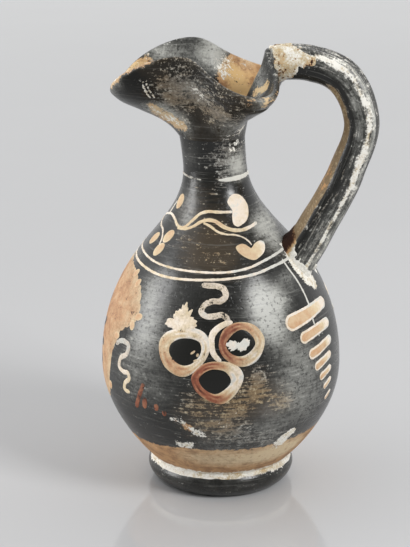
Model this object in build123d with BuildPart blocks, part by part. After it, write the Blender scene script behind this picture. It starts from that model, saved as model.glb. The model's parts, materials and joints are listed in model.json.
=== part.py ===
"""A hand-thrown wine jug: ring foot, ovoid body, leaning neck, three-lobed mouth and a high strap handle.

Millimetres. The origin is the centre of the foot's resting face, +Z is up and the handle stands towards +X.
The pieces are modelled as the potter made them, each a solid of its own, luted to its neighbour with slip.
"""

import math
import os

from build123d import *

# Foot: a thrown ring whose collar laps round the base of the body.
FOOT_REST_RADIUS = 27.0
FOOT_INNER_RADIUS = 19.0
FOOT_BULGE_RADIUS = 32.8
FOOT_BULGE_HEIGHT = 7.4
FOOT_SEAT_HEIGHT = 6.5
FOOT_HEIGHT = 10.4
FOOT_COLLAR_WIDTH = 2.6

# Body: an ovoid shell thrown in one piece.
BASE_RADIUS = 28.6
BELLY_RADIUS = 53.0
BELLY_HEIGHT = 56.0
SHOULDER_RADIUS = 38.0
SHOULDER_HEIGHT = 104.0
BODY_WALL = 4.2
BODY_FLOOR = 6.0
FLOOR_FLAT_RADIUS = 15.0
LOWER_FULLNESS = 0.85
UPPER_FULLNESS = 2.2
LOWER_STATIONS = 8
UPPER_STATIONS = 6

# Neck: thrown apart from the body and set on it with a slight lean towards the spout.
THROAT_RADIUS = 13.8
THROAT_HEIGHT = 146.0
NECK_TOP_RADIUS = 14.2
NECK_TOP_HEIGHT = 157.0
NECK_WALL = 3.8
NECK_LEAN = 4.2
LEAN_POWER = 1.25
NECK_SWEEP = -0.95
NECK_STATIONS = 9
SPIGOT_DEPTH = 3.0
SPIGOT_WALL = 2.6

# Mouth: a flaring collar pinched into three lobes. Its stations run evenly from the spout round to the handle.
RIM_RADII = (42.4, 44.4, 35.2, 30.6, 44.2, 34.8, 26.0)
RIM_HEIGHTS = (176.8, 190.2, 190.6, 181.0, 195.6)
FLARE_OUT = (0.0, 0.22, 0.6, 0.88, 1.0)
FLARE_UP = (0.0, 0.34, 0.635, 0.84, 1.0)
MOUTH_TURN = 8.0
MOUTH_WALL = 3.6
LIP_DROP = 2.5
MOUTH_SECTIONS = 13
TONGUE_WIDTH = 1.2
TONGUE_HEIGHT = 1.6

# Handle: a pulled strap with two low ridges along its back.
HANDLE_WIDTH = 17.0
HANDLE_THICKNESS = 14.2
HANDLE_REACH = 60.6
HANDLE_CREST = 190.0
HANDLE_ROOT_INSET = 5.4
HANDLE_ROOT_DROP = 9.2
HANDLE_BASE_HEIGHT = 100.0
HANDLE_BASE_INSET = 9.0
HANDLE_BASE_SPREAD = 0.22
HANDLE_ROOT_SPREAD = 0.06
HANDLE_SECTIONS = 13
PATH_OUT = (0.62, 0.86, 1.0, 0.9, 0.71)
PATH_FALL = (0.0, 0.058, 0.245, 0.515, 0.775)
ROOT_TAPER_END = 0.25
BASE_TAPER_START = 0.4
EDGE_SIDE = 0.72
EDGE_DROP = 0.78
RIDGE_SIDE = 0.62
RIDGE_RISE = 0.96
GROOVE_RISE = 0.84

# Slip: the liquid clay that lutes each joint.
SLIP_GAP = 0.4
FOOT_BEAD = 2.2
HANDLE_BEAD = 1.4
HANDLE_BEAD_EDGE = 0.3
ROOT_BEAD_END = 0.13
BASE_BEAD_START = 0.9


def smooth_step(t):
    """Ease from 0 to 1 with level ends."""
    t = min(max(t, 0.0), 1.0)
    return t * t * (3 - 2 * t)


def body_radius(height):
    """Outer radius of the body: a fattened sine below the belly and a power curve above it."""
    if height < BELLY_HEIGHT:
        t = max(height - FOOT_HEIGHT, 0.0) / (BELLY_HEIGHT - FOOT_HEIGHT)
        return BASE_RADIUS + (BELLY_RADIUS - BASE_RADIUS) * math.sin(math.pi / 2 * t) ** LOWER_FULLNESS
    t = (height - BELLY_HEIGHT) / (SHOULDER_HEIGHT - BELLY_HEIGHT)
    return BELLY_RADIUS - (BELLY_RADIUS - SHOULDER_RADIUS) * t**UPPER_FULLNESS


def neck_radius(height):
    """Outer radius of the neck: it leaves the shoulder at the body's own slope, and opens a little at the top."""
    if height > THROAT_HEIGHT:
        t = (height - THROAT_HEIGHT) / (NECK_TOP_HEIGHT - THROAT_HEIGHT)
        return THROAT_RADIUS + (NECK_TOP_RADIUS - THROAT_RADIUS) * t**2
    rise = THROAT_HEIGHT - SHOULDER_HEIGHT
    drop = SHOULDER_RADIUS - THROAT_RADIUS
    slope = UPPER_FULLNESS * (BELLY_RADIUS - SHOULDER_RADIUS) / (SHOULDER_HEIGHT - BELLY_HEIGHT)
    t = (height - SHOULDER_HEIGHT) / rise
    start = 2 - slope * rise / drop
    return THROAT_RADIUS + drop * (1 - t) ** 2 * (1 + start * t + NECK_SWEEP * t**2)


def neck_centre(height):
    """Distance of the neck's centre from the axis, towards the spout."""
    t = (height - SHOULDER_HEIGHT) / (NECK_TOP_HEIGHT - SHOULDER_HEIGHT)
    return NECK_LEAN * t**LEAN_POWER


def level_thickness(radius, height, wall):
    """Wall thickness measured level, from the slope of the outer radius."""
    step = 0.01
    slope = (radius(height + step) - radius(height - step)) / (2 * step)
    return wall * math.hypot(1, slope)


def even_series(values, angle):
    """Smooth even curve through evenly spaced values between the spout and the handle."""
    last = len(values) - 1
    total = 0.0
    for k in range(last + 1):
        weight = 0.0
        for j, value in enumerate(values):
            share = 0.5 if j in (0, last) else 1.0
            weight += share * value * math.cos(math.pi * j * k / last)
        share = 0.5 if k in (0, last) else 1.0
        total += share * weight * 2 / last * math.cos(k * angle)
    return total


def mouth_wall(angle):
    """Outer points, inner points and lip crown of the mouth's wall at an angle from the spout."""
    radius = even_series(RIM_RADII, angle)
    height = even_series(RIM_HEIGHTS, angle) - LIP_DROP
    outer = []
    for out, up in zip(FLARE_OUT, FLARE_UP):
        across = NECK_TOP_RADIUS + (radius - NECK_TOP_RADIUS) * out
        outer.append(Vector(across, NECK_TOP_HEIGHT + (height - NECK_TOP_HEIGHT) * up))
    runs = [Vector(0, 1)]
    for before, after in zip(outer, outer[2:]):
        runs.append((after - before).normalized())
    runs.append((outer[-1] - outer[-2]).normalized())
    inner = []
    for point, run in zip(outer, runs):
        inner.append(point + Vector(-run.Y, run.X) * MOUTH_WALL)
    crown = (outer[-1] + inner[-1]) * 0.5 + runs[-1] * (MOUTH_WALL / 2)
    return outer, inner, crown


def handle_spread(t):
    """Width of the handle's section along its path, as a share of its middle width."""
    root = HANDLE_ROOT_SPREAD * (1 - smooth_step(t / ROOT_TAPER_END))
    base = HANDLE_BASE_SPREAD * smooth_step((t - BASE_TAPER_START) / (1 - BASE_TAPER_START))
    return 1 + root + base


def handle_outline(spread, extra):
    """Section of the handle: lateral and outward points round the strap, grown by an extra margin."""
    half_width = HANDLE_WIDTH / 2 * spread + extra
    half_depth = HANDLE_THICKNESS / 2 * spread + extra
    shares = (
        (0, -1),
        (EDGE_SIDE, -EDGE_DROP),
        (1, 0),
        (RIDGE_SIDE, RIDGE_RISE),
        (0, GROOVE_RISE),
        (-RIDGE_SIDE, RIDGE_RISE),
        (-1, 0),
        (-EDGE_SIDE, -EDGE_DROP),
    )
    return [(side * half_width, rise * half_depth) for side, rise in shares]


def evenly(first, last, count):
    """Count values spaced evenly from first to last."""
    return [first + (last - first) * i / (count - 1) for i in range(count)]


os.makedirs("parts", exist_ok=True)

# Foot ring
with BuildPart() as foot_ring:
    with BuildSketch(Plane.XZ):
        with BuildLine():
            Line((FOOT_INNER_RADIUS, 0), (FOOT_REST_RADIUS, 0))
            Spline(
                (FOOT_REST_RADIUS, 0),
                (FOOT_BULGE_RADIUS, FOOT_BULGE_HEIGHT),
                (BASE_RADIUS + SLIP_GAP + FOOT_COLLAR_WIDTH, FOOT_HEIGHT),
                tangents=((1, 1), (0, 1), (-1, 1)),
            )
            Polyline(
                (BASE_RADIUS + SLIP_GAP + FOOT_COLLAR_WIDTH, FOOT_HEIGHT),
                (BASE_RADIUS + SLIP_GAP, FOOT_HEIGHT),
                (BASE_RADIUS + SLIP_GAP, FOOT_SEAT_HEIGHT),
                (FOOT_INNER_RADIUS, FOOT_SEAT_HEIGHT),
                (FOOT_INNER_RADIUS, 0),
            )
        make_face()
    revolve(axis=Axis.Z)
foot_ring.part.label = "foot_ring"
export_step(foot_ring.part, "parts/foot_ring.step")

# Body
lower_heights = evenly(FOOT_HEIGHT, BELLY_HEIGHT, LOWER_STATIONS)
upper_heights = evenly(BELLY_HEIGHT, SHOULDER_HEIGHT, UPPER_STATIONS)
body_heights = lower_heights + upper_heights[1:]
outer_points = [(body_radius(z), z) for z in body_heights]
inner_points = [(body_radius(z) - level_thickness(body_radius, z, BODY_WALL), z) for z in body_heights[2:]]
floor_height = FOOT_SEAT_HEIGHT + BODY_FLOOR
opening_radius = inner_points[-1][0]
with BuildPart() as body:
    with BuildSketch(Plane.XZ):
        with BuildLine():
            Polyline((0, FOOT_SEAT_HEIGHT), (BASE_RADIUS, FOOT_SEAT_HEIGHT), outer_points[0])
            Spline(outer_points)
            Line(outer_points[-1], inner_points[-1])
            Spline(
                [(FLOOR_FLAT_RADIUS, floor_height)] + inner_points,
                tangents=((1, 0), (inner_points[-1][0] - inner_points[-2][0], SHOULDER_HEIGHT - body_heights[-2])),
            )
            Polyline((FLOOR_FLAT_RADIUS, floor_height), (0, floor_height), (0, FOOT_SEAT_HEIGHT))
        make_face()
    revolve(axis=Axis.Z)
body.part.label = "body"
export_step(body.part, "parts/body.step")

# Slip that beds the body in the foot's collar and fills the groove above it
with BuildPart() as foot_joint_slip:
    with BuildSketch(Plane.XZ):
        with BuildLine():
            Polyline(
                (FOOT_REST_RADIUS, FOOT_SEAT_HEIGHT),
                (BASE_RADIUS + SLIP_GAP, FOOT_SEAT_HEIGHT),
                (BASE_RADIUS + SLIP_GAP, FOOT_HEIGHT),
                (BASE_RADIUS + SLIP_GAP + FOOT_COLLAR_WIDTH, FOOT_HEIGHT),
                (body_radius(FOOT_HEIGHT + FOOT_BEAD), FOOT_HEIGHT + FOOT_BEAD),
                (FOOT_REST_RADIUS, FOOT_HEIGHT + FOOT_BEAD),
                close=True,
            )
        make_face()
    revolve(axis=Axis.Z)
    add(body.part, mode=Mode.SUBTRACT)
foot_joint_slip.part.label = "foot_joint_slip"
export_step(foot_joint_slip.part, "parts/foot_joint_slip.step")

# Neck, with the spigot that drops into the body's opening
neck_heights = evenly(SHOULDER_HEIGHT, NECK_TOP_HEIGHT, NECK_STATIONS)
spigot_radius = opening_radius - SLIP_GAP
bore_radius = NECK_TOP_RADIUS - NECK_WALL
tongue_inner = (NECK_TOP_RADIUS + bore_radius - TONGUE_WIDTH) / 2
tongue_outer = tongue_inner + TONGUE_WIDTH
neck_top = Plane(origin=(-NECK_LEAN, 0, NECK_TOP_HEIGHT))
with BuildPart() as neck:
    for z in neck_heights:
        with BuildSketch(Plane(origin=(-neck_centre(z), 0, z))):
            Circle(neck_radius(z))
    loft()
    with BuildSketch(Plane.XY.offset(SHOULDER_HEIGHT)):
        Circle(spigot_radius)
    extrude(amount=-SPIGOT_DEPTH)
    with BuildSketch(neck_top):
        Circle(tongue_outer)
    extrude(amount=TONGUE_HEIGHT)
    for z in neck_heights:
        thickness = level_thickness(neck_radius, z, NECK_WALL)
        with BuildSketch(Plane(origin=(-neck_centre(z), 0, z))):
            Circle(min(neck_radius(z) - thickness, spigot_radius - SPIGOT_WALL))
    loft(mode=Mode.SUBTRACT)
    with BuildSketch(Plane.XY.offset(SHOULDER_HEIGHT)):
        Circle(spigot_radius - SPIGOT_WALL)
    extrude(amount=-SPIGOT_DEPTH, mode=Mode.SUBTRACT)
    with BuildSketch(neck_top):
        Circle(tongue_inner)
    extrude(amount=TONGUE_HEIGHT, mode=Mode.SUBTRACT)
neck.part.label = "neck"
export_step(neck.part, "parts/neck.step")

# Slip between the neck's spigot and the body
with BuildPart() as neck_joint_slip:
    with BuildSketch(Plane.XY.offset(SHOULDER_HEIGHT - SPIGOT_DEPTH)):
        Circle(SHOULDER_RADIUS)
        Circle(spigot_radius, mode=Mode.SUBTRACT)
    extrude(amount=SPIGOT_DEPTH)
    add(body.part, mode=Mode.SUBTRACT)
neck_joint_slip.part.label = "neck_joint_slip"
export_step(neck_joint_slip.part, "parts/neck_joint_slip.step")

# Trefoil mouth: half its wall lofted round through radial sections, mirrored, then grooved for the neck's tongue
turn = math.radians(MOUTH_TURN)
mirror_plane = Plane(origin=(-NECK_LEAN, 0, 0), z_dir=(-math.sin(turn), math.cos(turn), 0))
with BuildPart() as mouth:
    for angle in evenly(0, math.pi, MOUTH_SECTIONS):
        outer, inner, crown = mouth_wall(angle)
        heading = turn + math.pi + angle
        out = Vector(math.cos(heading), math.sin(heading), 0)
        with BuildSketch(Plane(origin=(-NECK_LEAN, 0, 0), x_dir=out, z_dir=(out.Y, -out.X, 0))):
            with BuildLine():
                Spline(outer, tangents=((0, 1), outer[-1] - outer[-2]))
                ThreePointArc(outer[-1], crown, inner[-1])
                Spline(inner, tangents=((0, 1), outer[-1] - outer[-2]))
                Line(inner[0], outer[0])
            make_face()
    loft()
    mirror(about=mirror_plane)
    with BuildSketch(neck_top):
        Circle(tongue_outer + SLIP_GAP)
        Circle(tongue_inner - SLIP_GAP, mode=Mode.SUBTRACT)
    extrude(amount=TONGUE_HEIGHT + SLIP_GAP, mode=Mode.SUBTRACT)
mouth.part.label = "mouth"
export_step(mouth.part, "parts/mouth.step")

# Slip in the groove round the neck's tongue
with BuildPart() as mouth_joint_slip:
    with BuildSketch(neck_top):
        Circle(tongue_outer + SLIP_GAP)
        Circle(tongue_inner - SLIP_GAP, mode=Mode.SUBTRACT)
    extrude(amount=TONGUE_HEIGHT + SLIP_GAP)
    with BuildSketch(neck_top):
        Circle(tongue_outer)
        Circle(tongue_inner, mode=Mode.SUBTRACT)
    extrude(amount=TONGUE_HEIGHT, mode=Mode.SUBTRACT)
mouth_joint_slip.part.label = "mouth_joint_slip"
export_step(mouth_joint_slip.part, "parts/mouth_joint_slip.step")

# Path of the handle, from inside the mouth's back wall over the crest and down into the shoulder
root_reach = even_series(RIM_RADII, math.pi) - NECK_LEAN - HANDLE_ROOT_INSET
root_height = even_series(RIM_HEIGHTS, math.pi) - HANDLE_ROOT_DROP
base_reach = body_radius(HANDLE_BASE_HEIGHT) - HANDLE_BASE_INSET
fall = HANDLE_CREST - HANDLE_BASE_HEIGHT
path_middle = [(HANDLE_REACH * out, HANDLE_CREST - fall * down) for out, down in zip(PATH_OUT, PATH_FALL)]
with BuildLine(Plane.XZ) as handle_path:
    Spline((root_reach, root_height), *path_middle, (base_reach, HANDLE_BASE_HEIGHT))
path = handle_path.line

# Space inside the mouth's back wall, where neither the handle nor its slip may reach
outer, inner, crown = mouth_wall(math.pi)
wall_middle = [(a + b) * 0.5 - Vector(NECK_LEAN, 0) for a, b in zip(outer, inner)]
hollow_top = HANDLE_CREST + HANDLE_THICKNESS
with BuildPart() as mouth_hollow:
    with BuildSketch(Plane.XZ):
        with BuildLine():
            Polyline(
                (-HANDLE_REACH, NECK_TOP_HEIGHT),
                *wall_middle,
                (wall_middle[-1].X, hollow_top),
                (-HANDLE_REACH, hollow_top),
                close=True,
            )
        make_face()
    extrude(amount=HANDLE_REACH, both=True)

# Handle, coped to the body and to the mouth where it runs through their walls
with BuildPart() as handle_blank:
    for t in evenly(0, 1, HANDLE_SECTIONS):
        with BuildSketch(Plane(origin=path @ t, x_dir=(0, 1, 0), z_dir=path % t)):
            with BuildLine():
                Spline(handle_outline(handle_spread(t), 0), periodic=True)
            make_face()
    loft()
    add(body.part, mode=Mode.SUBTRACT)
    add(neck.part, mode=Mode.SUBTRACT)
    add(mouth.part, mode=Mode.SUBTRACT)
    add(mouth_hollow.part, mode=Mode.SUBTRACT)
with BuildPart() as handle:
    add(handle_blank.part.solids().sort_by(SortBy.VOLUME)[-1])
handle.part.label = "handle"
export_step(handle.part, "parts/handle.step")

# Slip bead round the handle's root
with BuildPart() as root_bead_blank:
    for t, extra in zip(evenly(0, ROOT_BEAD_END, 3), evenly(HANDLE_BEAD, HANDLE_BEAD_EDGE, 3)):
        with BuildSketch(Plane(origin=path @ t, x_dir=(0, 1, 0), z_dir=path % t)):
            with BuildLine():
                Spline(handle_outline(handle_spread(t), extra), periodic=True)
            make_face()
    loft()
    add(handle_blank.part, mode=Mode.SUBTRACT)
    add(mouth.part, mode=Mode.SUBTRACT)
    add(mouth_hollow.part, mode=Mode.SUBTRACT)
with BuildPart() as handle_root_slip:
    add(root_bead_blank.part.solids().sort_by(Axis.X)[-1])
handle_root_slip.part.label = "handle_root_slip"
export_step(handle_root_slip.part, "parts/handle_root_slip.step")

# Slip bead round the handle's lower end
with BuildPart() as base_bead_blank:
    for t, extra in zip(evenly(BASE_BEAD_START, 1, 3), evenly(HANDLE_BEAD_EDGE, HANDLE_BEAD, 3)):
        with BuildSketch(Plane(origin=path @ t, x_dir=(0, 1, 0), z_dir=path % t)):
            with BuildLine():
                Spline(handle_outline(handle_spread(t), extra), periodic=True)
            make_face()
    loft()
    add(handle_blank.part, mode=Mode.SUBTRACT)
    add(body.part, mode=Mode.SUBTRACT)
    add(neck.part, mode=Mode.SUBTRACT)
with BuildPart() as handle_base_slip:
    add(base_bead_blank.part.solids().sort_by(SortBy.VOLUME)[-1])
handle_base_slip.part.label = "handle_base_slip"
export_step(handle_base_slip.part, "parts/handle_base_slip.step")
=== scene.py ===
"""A black-gloss wine jug with a three-lobed mouth, dressed over its solids.

Walls, handle, slip and painted ornament are worked out in millimetres in the solids' own frame: +Z up from
the foot's resting face, the handle towards +X, the spout towards -X. Angles round the jug are counted from
the handle towards -Y, the painted side. Mesh counts are points along a line or round a ring.
"""

import json

import bpy
import numpy as np
from mathutils import Matrix, Vector

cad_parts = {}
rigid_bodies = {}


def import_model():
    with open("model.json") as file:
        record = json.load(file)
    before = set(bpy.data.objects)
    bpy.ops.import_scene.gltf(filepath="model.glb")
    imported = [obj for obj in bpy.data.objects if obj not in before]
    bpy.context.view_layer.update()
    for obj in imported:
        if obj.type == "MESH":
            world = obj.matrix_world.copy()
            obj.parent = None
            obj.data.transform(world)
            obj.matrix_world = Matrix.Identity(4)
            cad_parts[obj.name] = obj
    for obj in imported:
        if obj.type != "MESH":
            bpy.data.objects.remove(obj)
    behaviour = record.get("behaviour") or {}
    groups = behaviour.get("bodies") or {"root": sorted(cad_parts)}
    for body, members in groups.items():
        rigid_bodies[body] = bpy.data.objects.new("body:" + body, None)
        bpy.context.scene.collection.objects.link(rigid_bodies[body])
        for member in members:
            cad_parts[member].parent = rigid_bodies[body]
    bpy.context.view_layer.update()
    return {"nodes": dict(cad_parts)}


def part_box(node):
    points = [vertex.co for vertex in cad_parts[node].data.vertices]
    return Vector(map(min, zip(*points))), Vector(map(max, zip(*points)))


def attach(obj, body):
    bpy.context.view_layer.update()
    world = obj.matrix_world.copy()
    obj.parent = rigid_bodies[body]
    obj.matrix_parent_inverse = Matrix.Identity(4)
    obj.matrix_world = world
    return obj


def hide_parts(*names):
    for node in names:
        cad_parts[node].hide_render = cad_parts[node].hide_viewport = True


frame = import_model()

bl_info = {
    "name": "Trefoil wine jug",
    "version": (1, 0, 0),
    "blender": (4, 5, 0),
    "location": "View3D > Sidebar > Jug",
    "description": "Builds a painted black-gloss jug over its packed solids",
    "category": "Add Mesh",
}

MM = 0.001
SHARP_EDGE = np.radians(38.0)

# Foot and body; the foot's toe and bulges are steps in radius and height
FOOT_REST_RADIUS = 27.0
FOOT_INNER_RADIUS = 19.0
FOOT_BULGE_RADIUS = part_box("foot_ring")[1].x / MM
FOOT_BULGE_HEIGHT = 7.4
FOOT_SEAT_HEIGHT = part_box("body")[0].z / MM
FOOT_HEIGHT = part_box("foot_ring")[1].z / MM
FOOT_COLLAR_WIDTH = 2.6
FOOT_TOE = (2.6, 1.5)
FOOT_LOWER_BULGE = (0.7, 4.6)
FOOT_UPPER_BULGE = (0.45, 1.2)
FOOT_BEVEL = 0.8
FOOT_BEVEL_MIDDLE = 0.25
FOOT_CRUST_RISE = (8.2, 10.4)
FOOT_LINE_POINTS = 28
FOOT_RING_POINTS = 220
BASE_RADIUS = 28.6
BELLY_RADIUS = 53.0
BELLY_HEIGHT = 56.0
SHOULDER_RADIUS = 38.0
SHOULDER_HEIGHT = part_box("body")[1].z / MM
BODY_WALL = 4.2
BODY_FLOOR = 6.0
FLOOR_FLAT_RADIUS = 15.0
FLOOR_BEND = (26.0, 15.6)
FLOOR_BEND_RISE = 13.0
BASE_RINGS = (2.0, 12.0, 22.0)
FLOOR_RINGS = (8.0, 2.0)
LOWER_FULLNESS = 0.85
UPPER_FULLNESS = 2.2
BODY_ROWS = 118
BODY_INNER_ROWS = 60
FLOOR_BEND_ROWS = 12
WALL_RING_POINTS = 288

# Neck
THROAT_RADIUS = 13.8
THROAT_HEIGHT = 146.0
NECK_TOP_RADIUS = 14.2
NECK_TOP_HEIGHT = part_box("mouth")[0].z / MM
NECK_WALL = 3.8
NECK_LEAN = 4.2
LEAN_POWER = 1.25
NECK_SWEEP = -0.95
SPIGOT_DEPTH = 3.0
SPIGOT_WALL = 2.6
TONGUE_WIDTH = 1.2
TONGUE_HEIGHT = 1.6
TONGUE_RADIUS = (NECK_TOP_RADIUS + (NECK_TOP_RADIUS - NECK_WALL) - TONGUE_WIDTH) / 2
SLIP_GAP = 0.4
NECK_ROWS = 66
NECK_INNER_ROWS = 40

# Hand-thrown unevenness: depth, change of phase with height, and where the wall is round again
OVAL_WAVE = (0.2, 0.035)
TRIPLE_WAVE = (0.12, 0.05)
THROWING_RINGS = (0.012, 1.7)
FINE_RINGS = (0.01, 0.83)
ROUND_ABOVE_FOOT = 12.0
ROUND_FROM_HEIGHT = 135.0
WAVE_FOLD = 1.3
WAVE_TIGHTNESS = 0.6

# Foot slip: rise above the foot, the waves of its edge, and its section in the groove
FOOT_SLIP_RISE = 2.4
FOOT_SLIP_WANDER = 0.6
FOOT_SLIP_WAVES = ((0.5, 3, 2), (0.35, 7, 0), (0.25, 17, 1), (0.2, 31, 0))
FOOT_SLIP_SINK = 0.6
FOOT_SLIP_EDGE = 0.05
FOOT_SLIP_CROWN = (0.8, 0.55, 0.75)
FOOT_SLIP_RINGS = ((0.15, 0.25, 0.45), (0.3, 0.4, -0.35), (-0.8, 0.0, -0.5))
FOOT_SLIP_SEAT = 0.2
FOOT_SLIP_POINTS = 360

# Mouth: stations run evenly from the spout round to the handle
RIM_RADII = (42.4, 44.4, 35.2, 30.6, 44.2, 34.8, 26.0)
RIM_HEIGHTS = (176.8, 190.2, 190.6, 181.0, 195.6)
FLARE = ((0.0, 0.0), (0.22, 0.34), (0.6, 0.635), (0.88, 0.84), (1.0, 1.0))
MOUTH_TURN = np.radians(8.0)
MOUTH_WALL = 3.6
LIP_DROP = 2.5
FLARE_POINTS = 73
LIP_POINTS = 9
LIP_WEAR_ROWS = 4.5
MOUTH_RING_POINTS = 480

# Handle
HANDLE_WIDTH = 17.0
HANDLE_THICKNESS = 14.2
HANDLE_REACH = 60.6
HANDLE_CREST = 190.0
HANDLE_ROOT_INSET = 5.4
HANDLE_ROOT_DROP = 9.2
HANDLE_BASE_HEIGHT = 100.0
HANDLE_BASE_INSET = 9.0
HANDLE_BASE_SPREAD = 0.22
HANDLE_ROOT_SPREAD = 0.06
PATH_MIDDLE = ((0.62, 0.0), (0.86, 0.058), (1.0, 0.245), (0.9, 0.515), (0.71, 0.775))
ROOT_TAPER_END = 0.25
BASE_TAPER_START = 0.4
SECTION = ((0, -1), (0.72, -0.78), (1, 0), (0.62, 0.96), (0, 0.84), (-0.62, 0.96), (-1, 0), (-0.72, -0.78))
HANDLE_SEAT_DEPTH = 1.8
HANDLE_RUN_IN = 12.0
HANDLE_PATH_POINTS = 460
HANDLE_RUN_IN_POINTS = 40
HANDLE_ROWS = 240
HANDLE_RING_POINTS = 80

# Camera, as the photograph has it
PHOTO_HEIGHT = 547
PHOTO_FOCAL = 1650.0
CAMERA_DISTANCE = 700.0
CAMERA_HEIGHT = 302.3
CAMERA_ROUND = np.radians(15.0)
CAMERA_PITCH = np.radians(16.507)
CAMERA_PAN = np.radians(0.584)
CAMERA_NEAR = 0.01
CAMERA_RIGHT = np.array([np.cos(CAMERA_ROUND), np.sin(CAMERA_ROUND), 0.0])
CAMERA_FORWARD = np.array([-np.sin(CAMERA_ROUND), np.cos(CAMERA_ROUND), 0.0])
SENSOR = 36.0

# Studio in metres: lamp sizes, and places as right, away from the camera and up from the foot
KEY_SIZE = (0.36, 0.42)
KEY_PLACE = (0.77, -0.65, 0.76)
SIDE_SIZE = (2.0, 1.5)
SIDE_PLACE = (-1.15, -0.16, 0.8)
GLINT_SIZE = (0.5, 0.95)
GLINT_PLACE = (-1.15, -0.16, 0.5)
AIM_HEIGHT = 0.09
FLOOR_REACH = 60.0
SKY_TINT = (0.99, 0.995, 1.0)
SKY_DIM_SHARE = 0.3
SKY_DIM_FACING = -0.6
SKY_FULL_FACING = 0.7


def shade(red, green, blue):
    """Linear colour of a display colour given from 0 to 255."""
    value = np.array((red, green, blue)) / 255
    return tuple(np.where(value <= 0.04045, value / 12.92, ((value + 0.055) / 1.055) ** 2.4))


def size(name):
    """A size that the user sets, in millimetres to a ten-thousandth."""
    return round(getattr(bpy.context.scene.jug_sizes, name) / MM, 4)


def unit(vector):
    """The vector at length one."""
    return vector / np.linalg.norm(vector)


def smooth_step(value, low=0.0, high=1.0):
    """Cubic ease from 0 at low to 1 at high."""
    t = np.clip((np.asarray(value, float) - low) / (high - low), 0, 1)
    return t * t * (3 - 2 * t)


def smooth_curve(points, count, closed=False):
    """Points along the cubic through the given ones: Hermite pieces with chord-weighted central slopes."""
    p = np.asarray(points, float)
    if closed:
        p = np.vstack([p, p[:1]])
    chord = np.r_[0, np.cumsum(np.linalg.norm(np.diff(p, axis=0), axis=1))]
    if closed:
        longer = np.vstack([p[-2], p, p[1]])
        place = np.r_[chord[-2] - chord[-1], chord, chord[-1] + chord[1]]
        slope = (longer[2:] - longer[:-2]) / (place[2:] - place[:-2])[:, None]
    else:
        slope = np.gradient(p, chord, axis=0, edge_order=2 if len(p) > 2 else 1)
    u = np.linspace(0, chord[-1], count, endpoint=not closed)
    k = np.clip(np.searchsorted(chord, u, side="right") - 1, 0, len(chord) - 2)
    h = (chord[k + 1] - chord[k])[:, None]
    t = (u - chord[k])[:, None] / h
    ahead = t * t * (3 - 2 * t)
    swing = (t**3 - 2 * t**2 + t) * h * slope[k] + (t**3 - t**2) * h * slope[k + 1]
    return p[k] * (1 - ahead) + p[k + 1] * ahead + swing


def even_series(values, angle):
    """Even cosine series through values spaced evenly from angle 0 to pi."""
    values = np.asarray(values, float)
    last = len(values) - 1
    k = np.arange(last + 1)
    share = np.where((k == 0) | (k == last), 0.5, 1.0)
    weights = 2 / last * share * (np.cos(np.pi * np.outer(k, k) / last) @ (share * values))
    return np.cos(np.multiply.outer(angle, k)) @ weights


def vessel_radius(height):
    """Outer radius: fattened sine to the belly, power curve to the shoulder, then a sweep to the throat."""
    z = np.asarray(height, float)
    low = np.clip((z - FOOT_HEIGHT) / (BELLY_HEIGHT - FOOT_HEIGHT), 0, 1)
    high = np.clip((z - BELLY_HEIGHT) / (SHOULDER_HEIGHT - BELLY_HEIGHT), 0, None)
    belly = BASE_RADIUS + (BELLY_RADIUS - BASE_RADIUS) * np.sin(np.pi / 2 * low) ** LOWER_FULLNESS
    upper = BELLY_RADIUS - (BELLY_RADIUS - SHOULDER_RADIUS) * high**UPPER_FULLNESS
    body = np.where(z < BELLY_HEIGHT, belly, upper)
    rise = THROAT_HEIGHT - SHOULDER_HEIGHT
    drop = SHOULDER_RADIUS - THROAT_RADIUS
    slope = UPPER_FULLNESS * (BELLY_RADIUS - SHOULDER_RADIUS) / (SHOULDER_HEIGHT - BELLY_HEIGHT)
    t = np.clip((z - SHOULDER_HEIGHT) / rise, 0, 1)
    sweep = THROAT_RADIUS + drop * (1 - t) ** 2 * (1 + (2 - slope * rise / drop) * t + NECK_SWEEP * t**2)
    flare = np.clip((z - THROAT_HEIGHT) / (NECK_TOP_HEIGHT - THROAT_HEIGHT), 0, 1)
    neck = sweep + (NECK_TOP_RADIUS - THROAT_RADIUS) * flare**2
    return np.where(z <= SHOULDER_HEIGHT, body, neck)


def vessel_centre(height):
    """Shift of the vessel's centre towards the spout: a power curve up the neck."""
    t = np.clip((np.asarray(height, float) - SHOULDER_HEIGHT) / (NECK_TOP_HEIGHT - SHOULDER_HEIGHT), 0, 1)
    return NECK_LEAN * t**LEAN_POWER


def vessel_slope(height):
    """Change of the outer radius with height, by a central difference."""
    step = 0.05
    return (vessel_radius(height + step) - vessel_radius(height - step)) / (2 * step)


def unevenness(angle, height):
    """Hand-thrown departure from round, alike on both sides: slow waves and faint throwing rings."""
    oval_wave = OVAL_WAVE[0] * np.cos(2 * angle) * np.sin(OVAL_WAVE[1] * height + 1.0)
    triple_wave = TRIPLE_WAVE[0] * np.cos(3 * angle) * np.sin(TRIPLE_WAVE[1] * height)
    rings = THROWING_RINGS[0] * np.sin(THROWING_RINGS[1] * height + np.cos(angle))
    fine_rings = FINE_RINGS[0] * np.sin(FINE_RINGS[1] * height - np.cos(2 * angle))
    starts = smooth_step(height, FOOT_HEIGHT, FOOT_HEIGHT + ROUND_ABOVE_FOOT)
    ends = 1 - smooth_step(height, ROUND_FROM_HEIGHT, NECK_TOP_HEIGHT)
    return (oval_wave + triple_wave + (rings + fine_rings)) * (starts * ends)


def ring_point(angle, radius, height, centre):
    """Point at an angle round a circle whose centre is shifted towards the spout."""
    return np.stack(np.broadcast_arrays(radius * np.cos(angle) - centre, -radius * np.sin(angle), height), -1)


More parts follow.
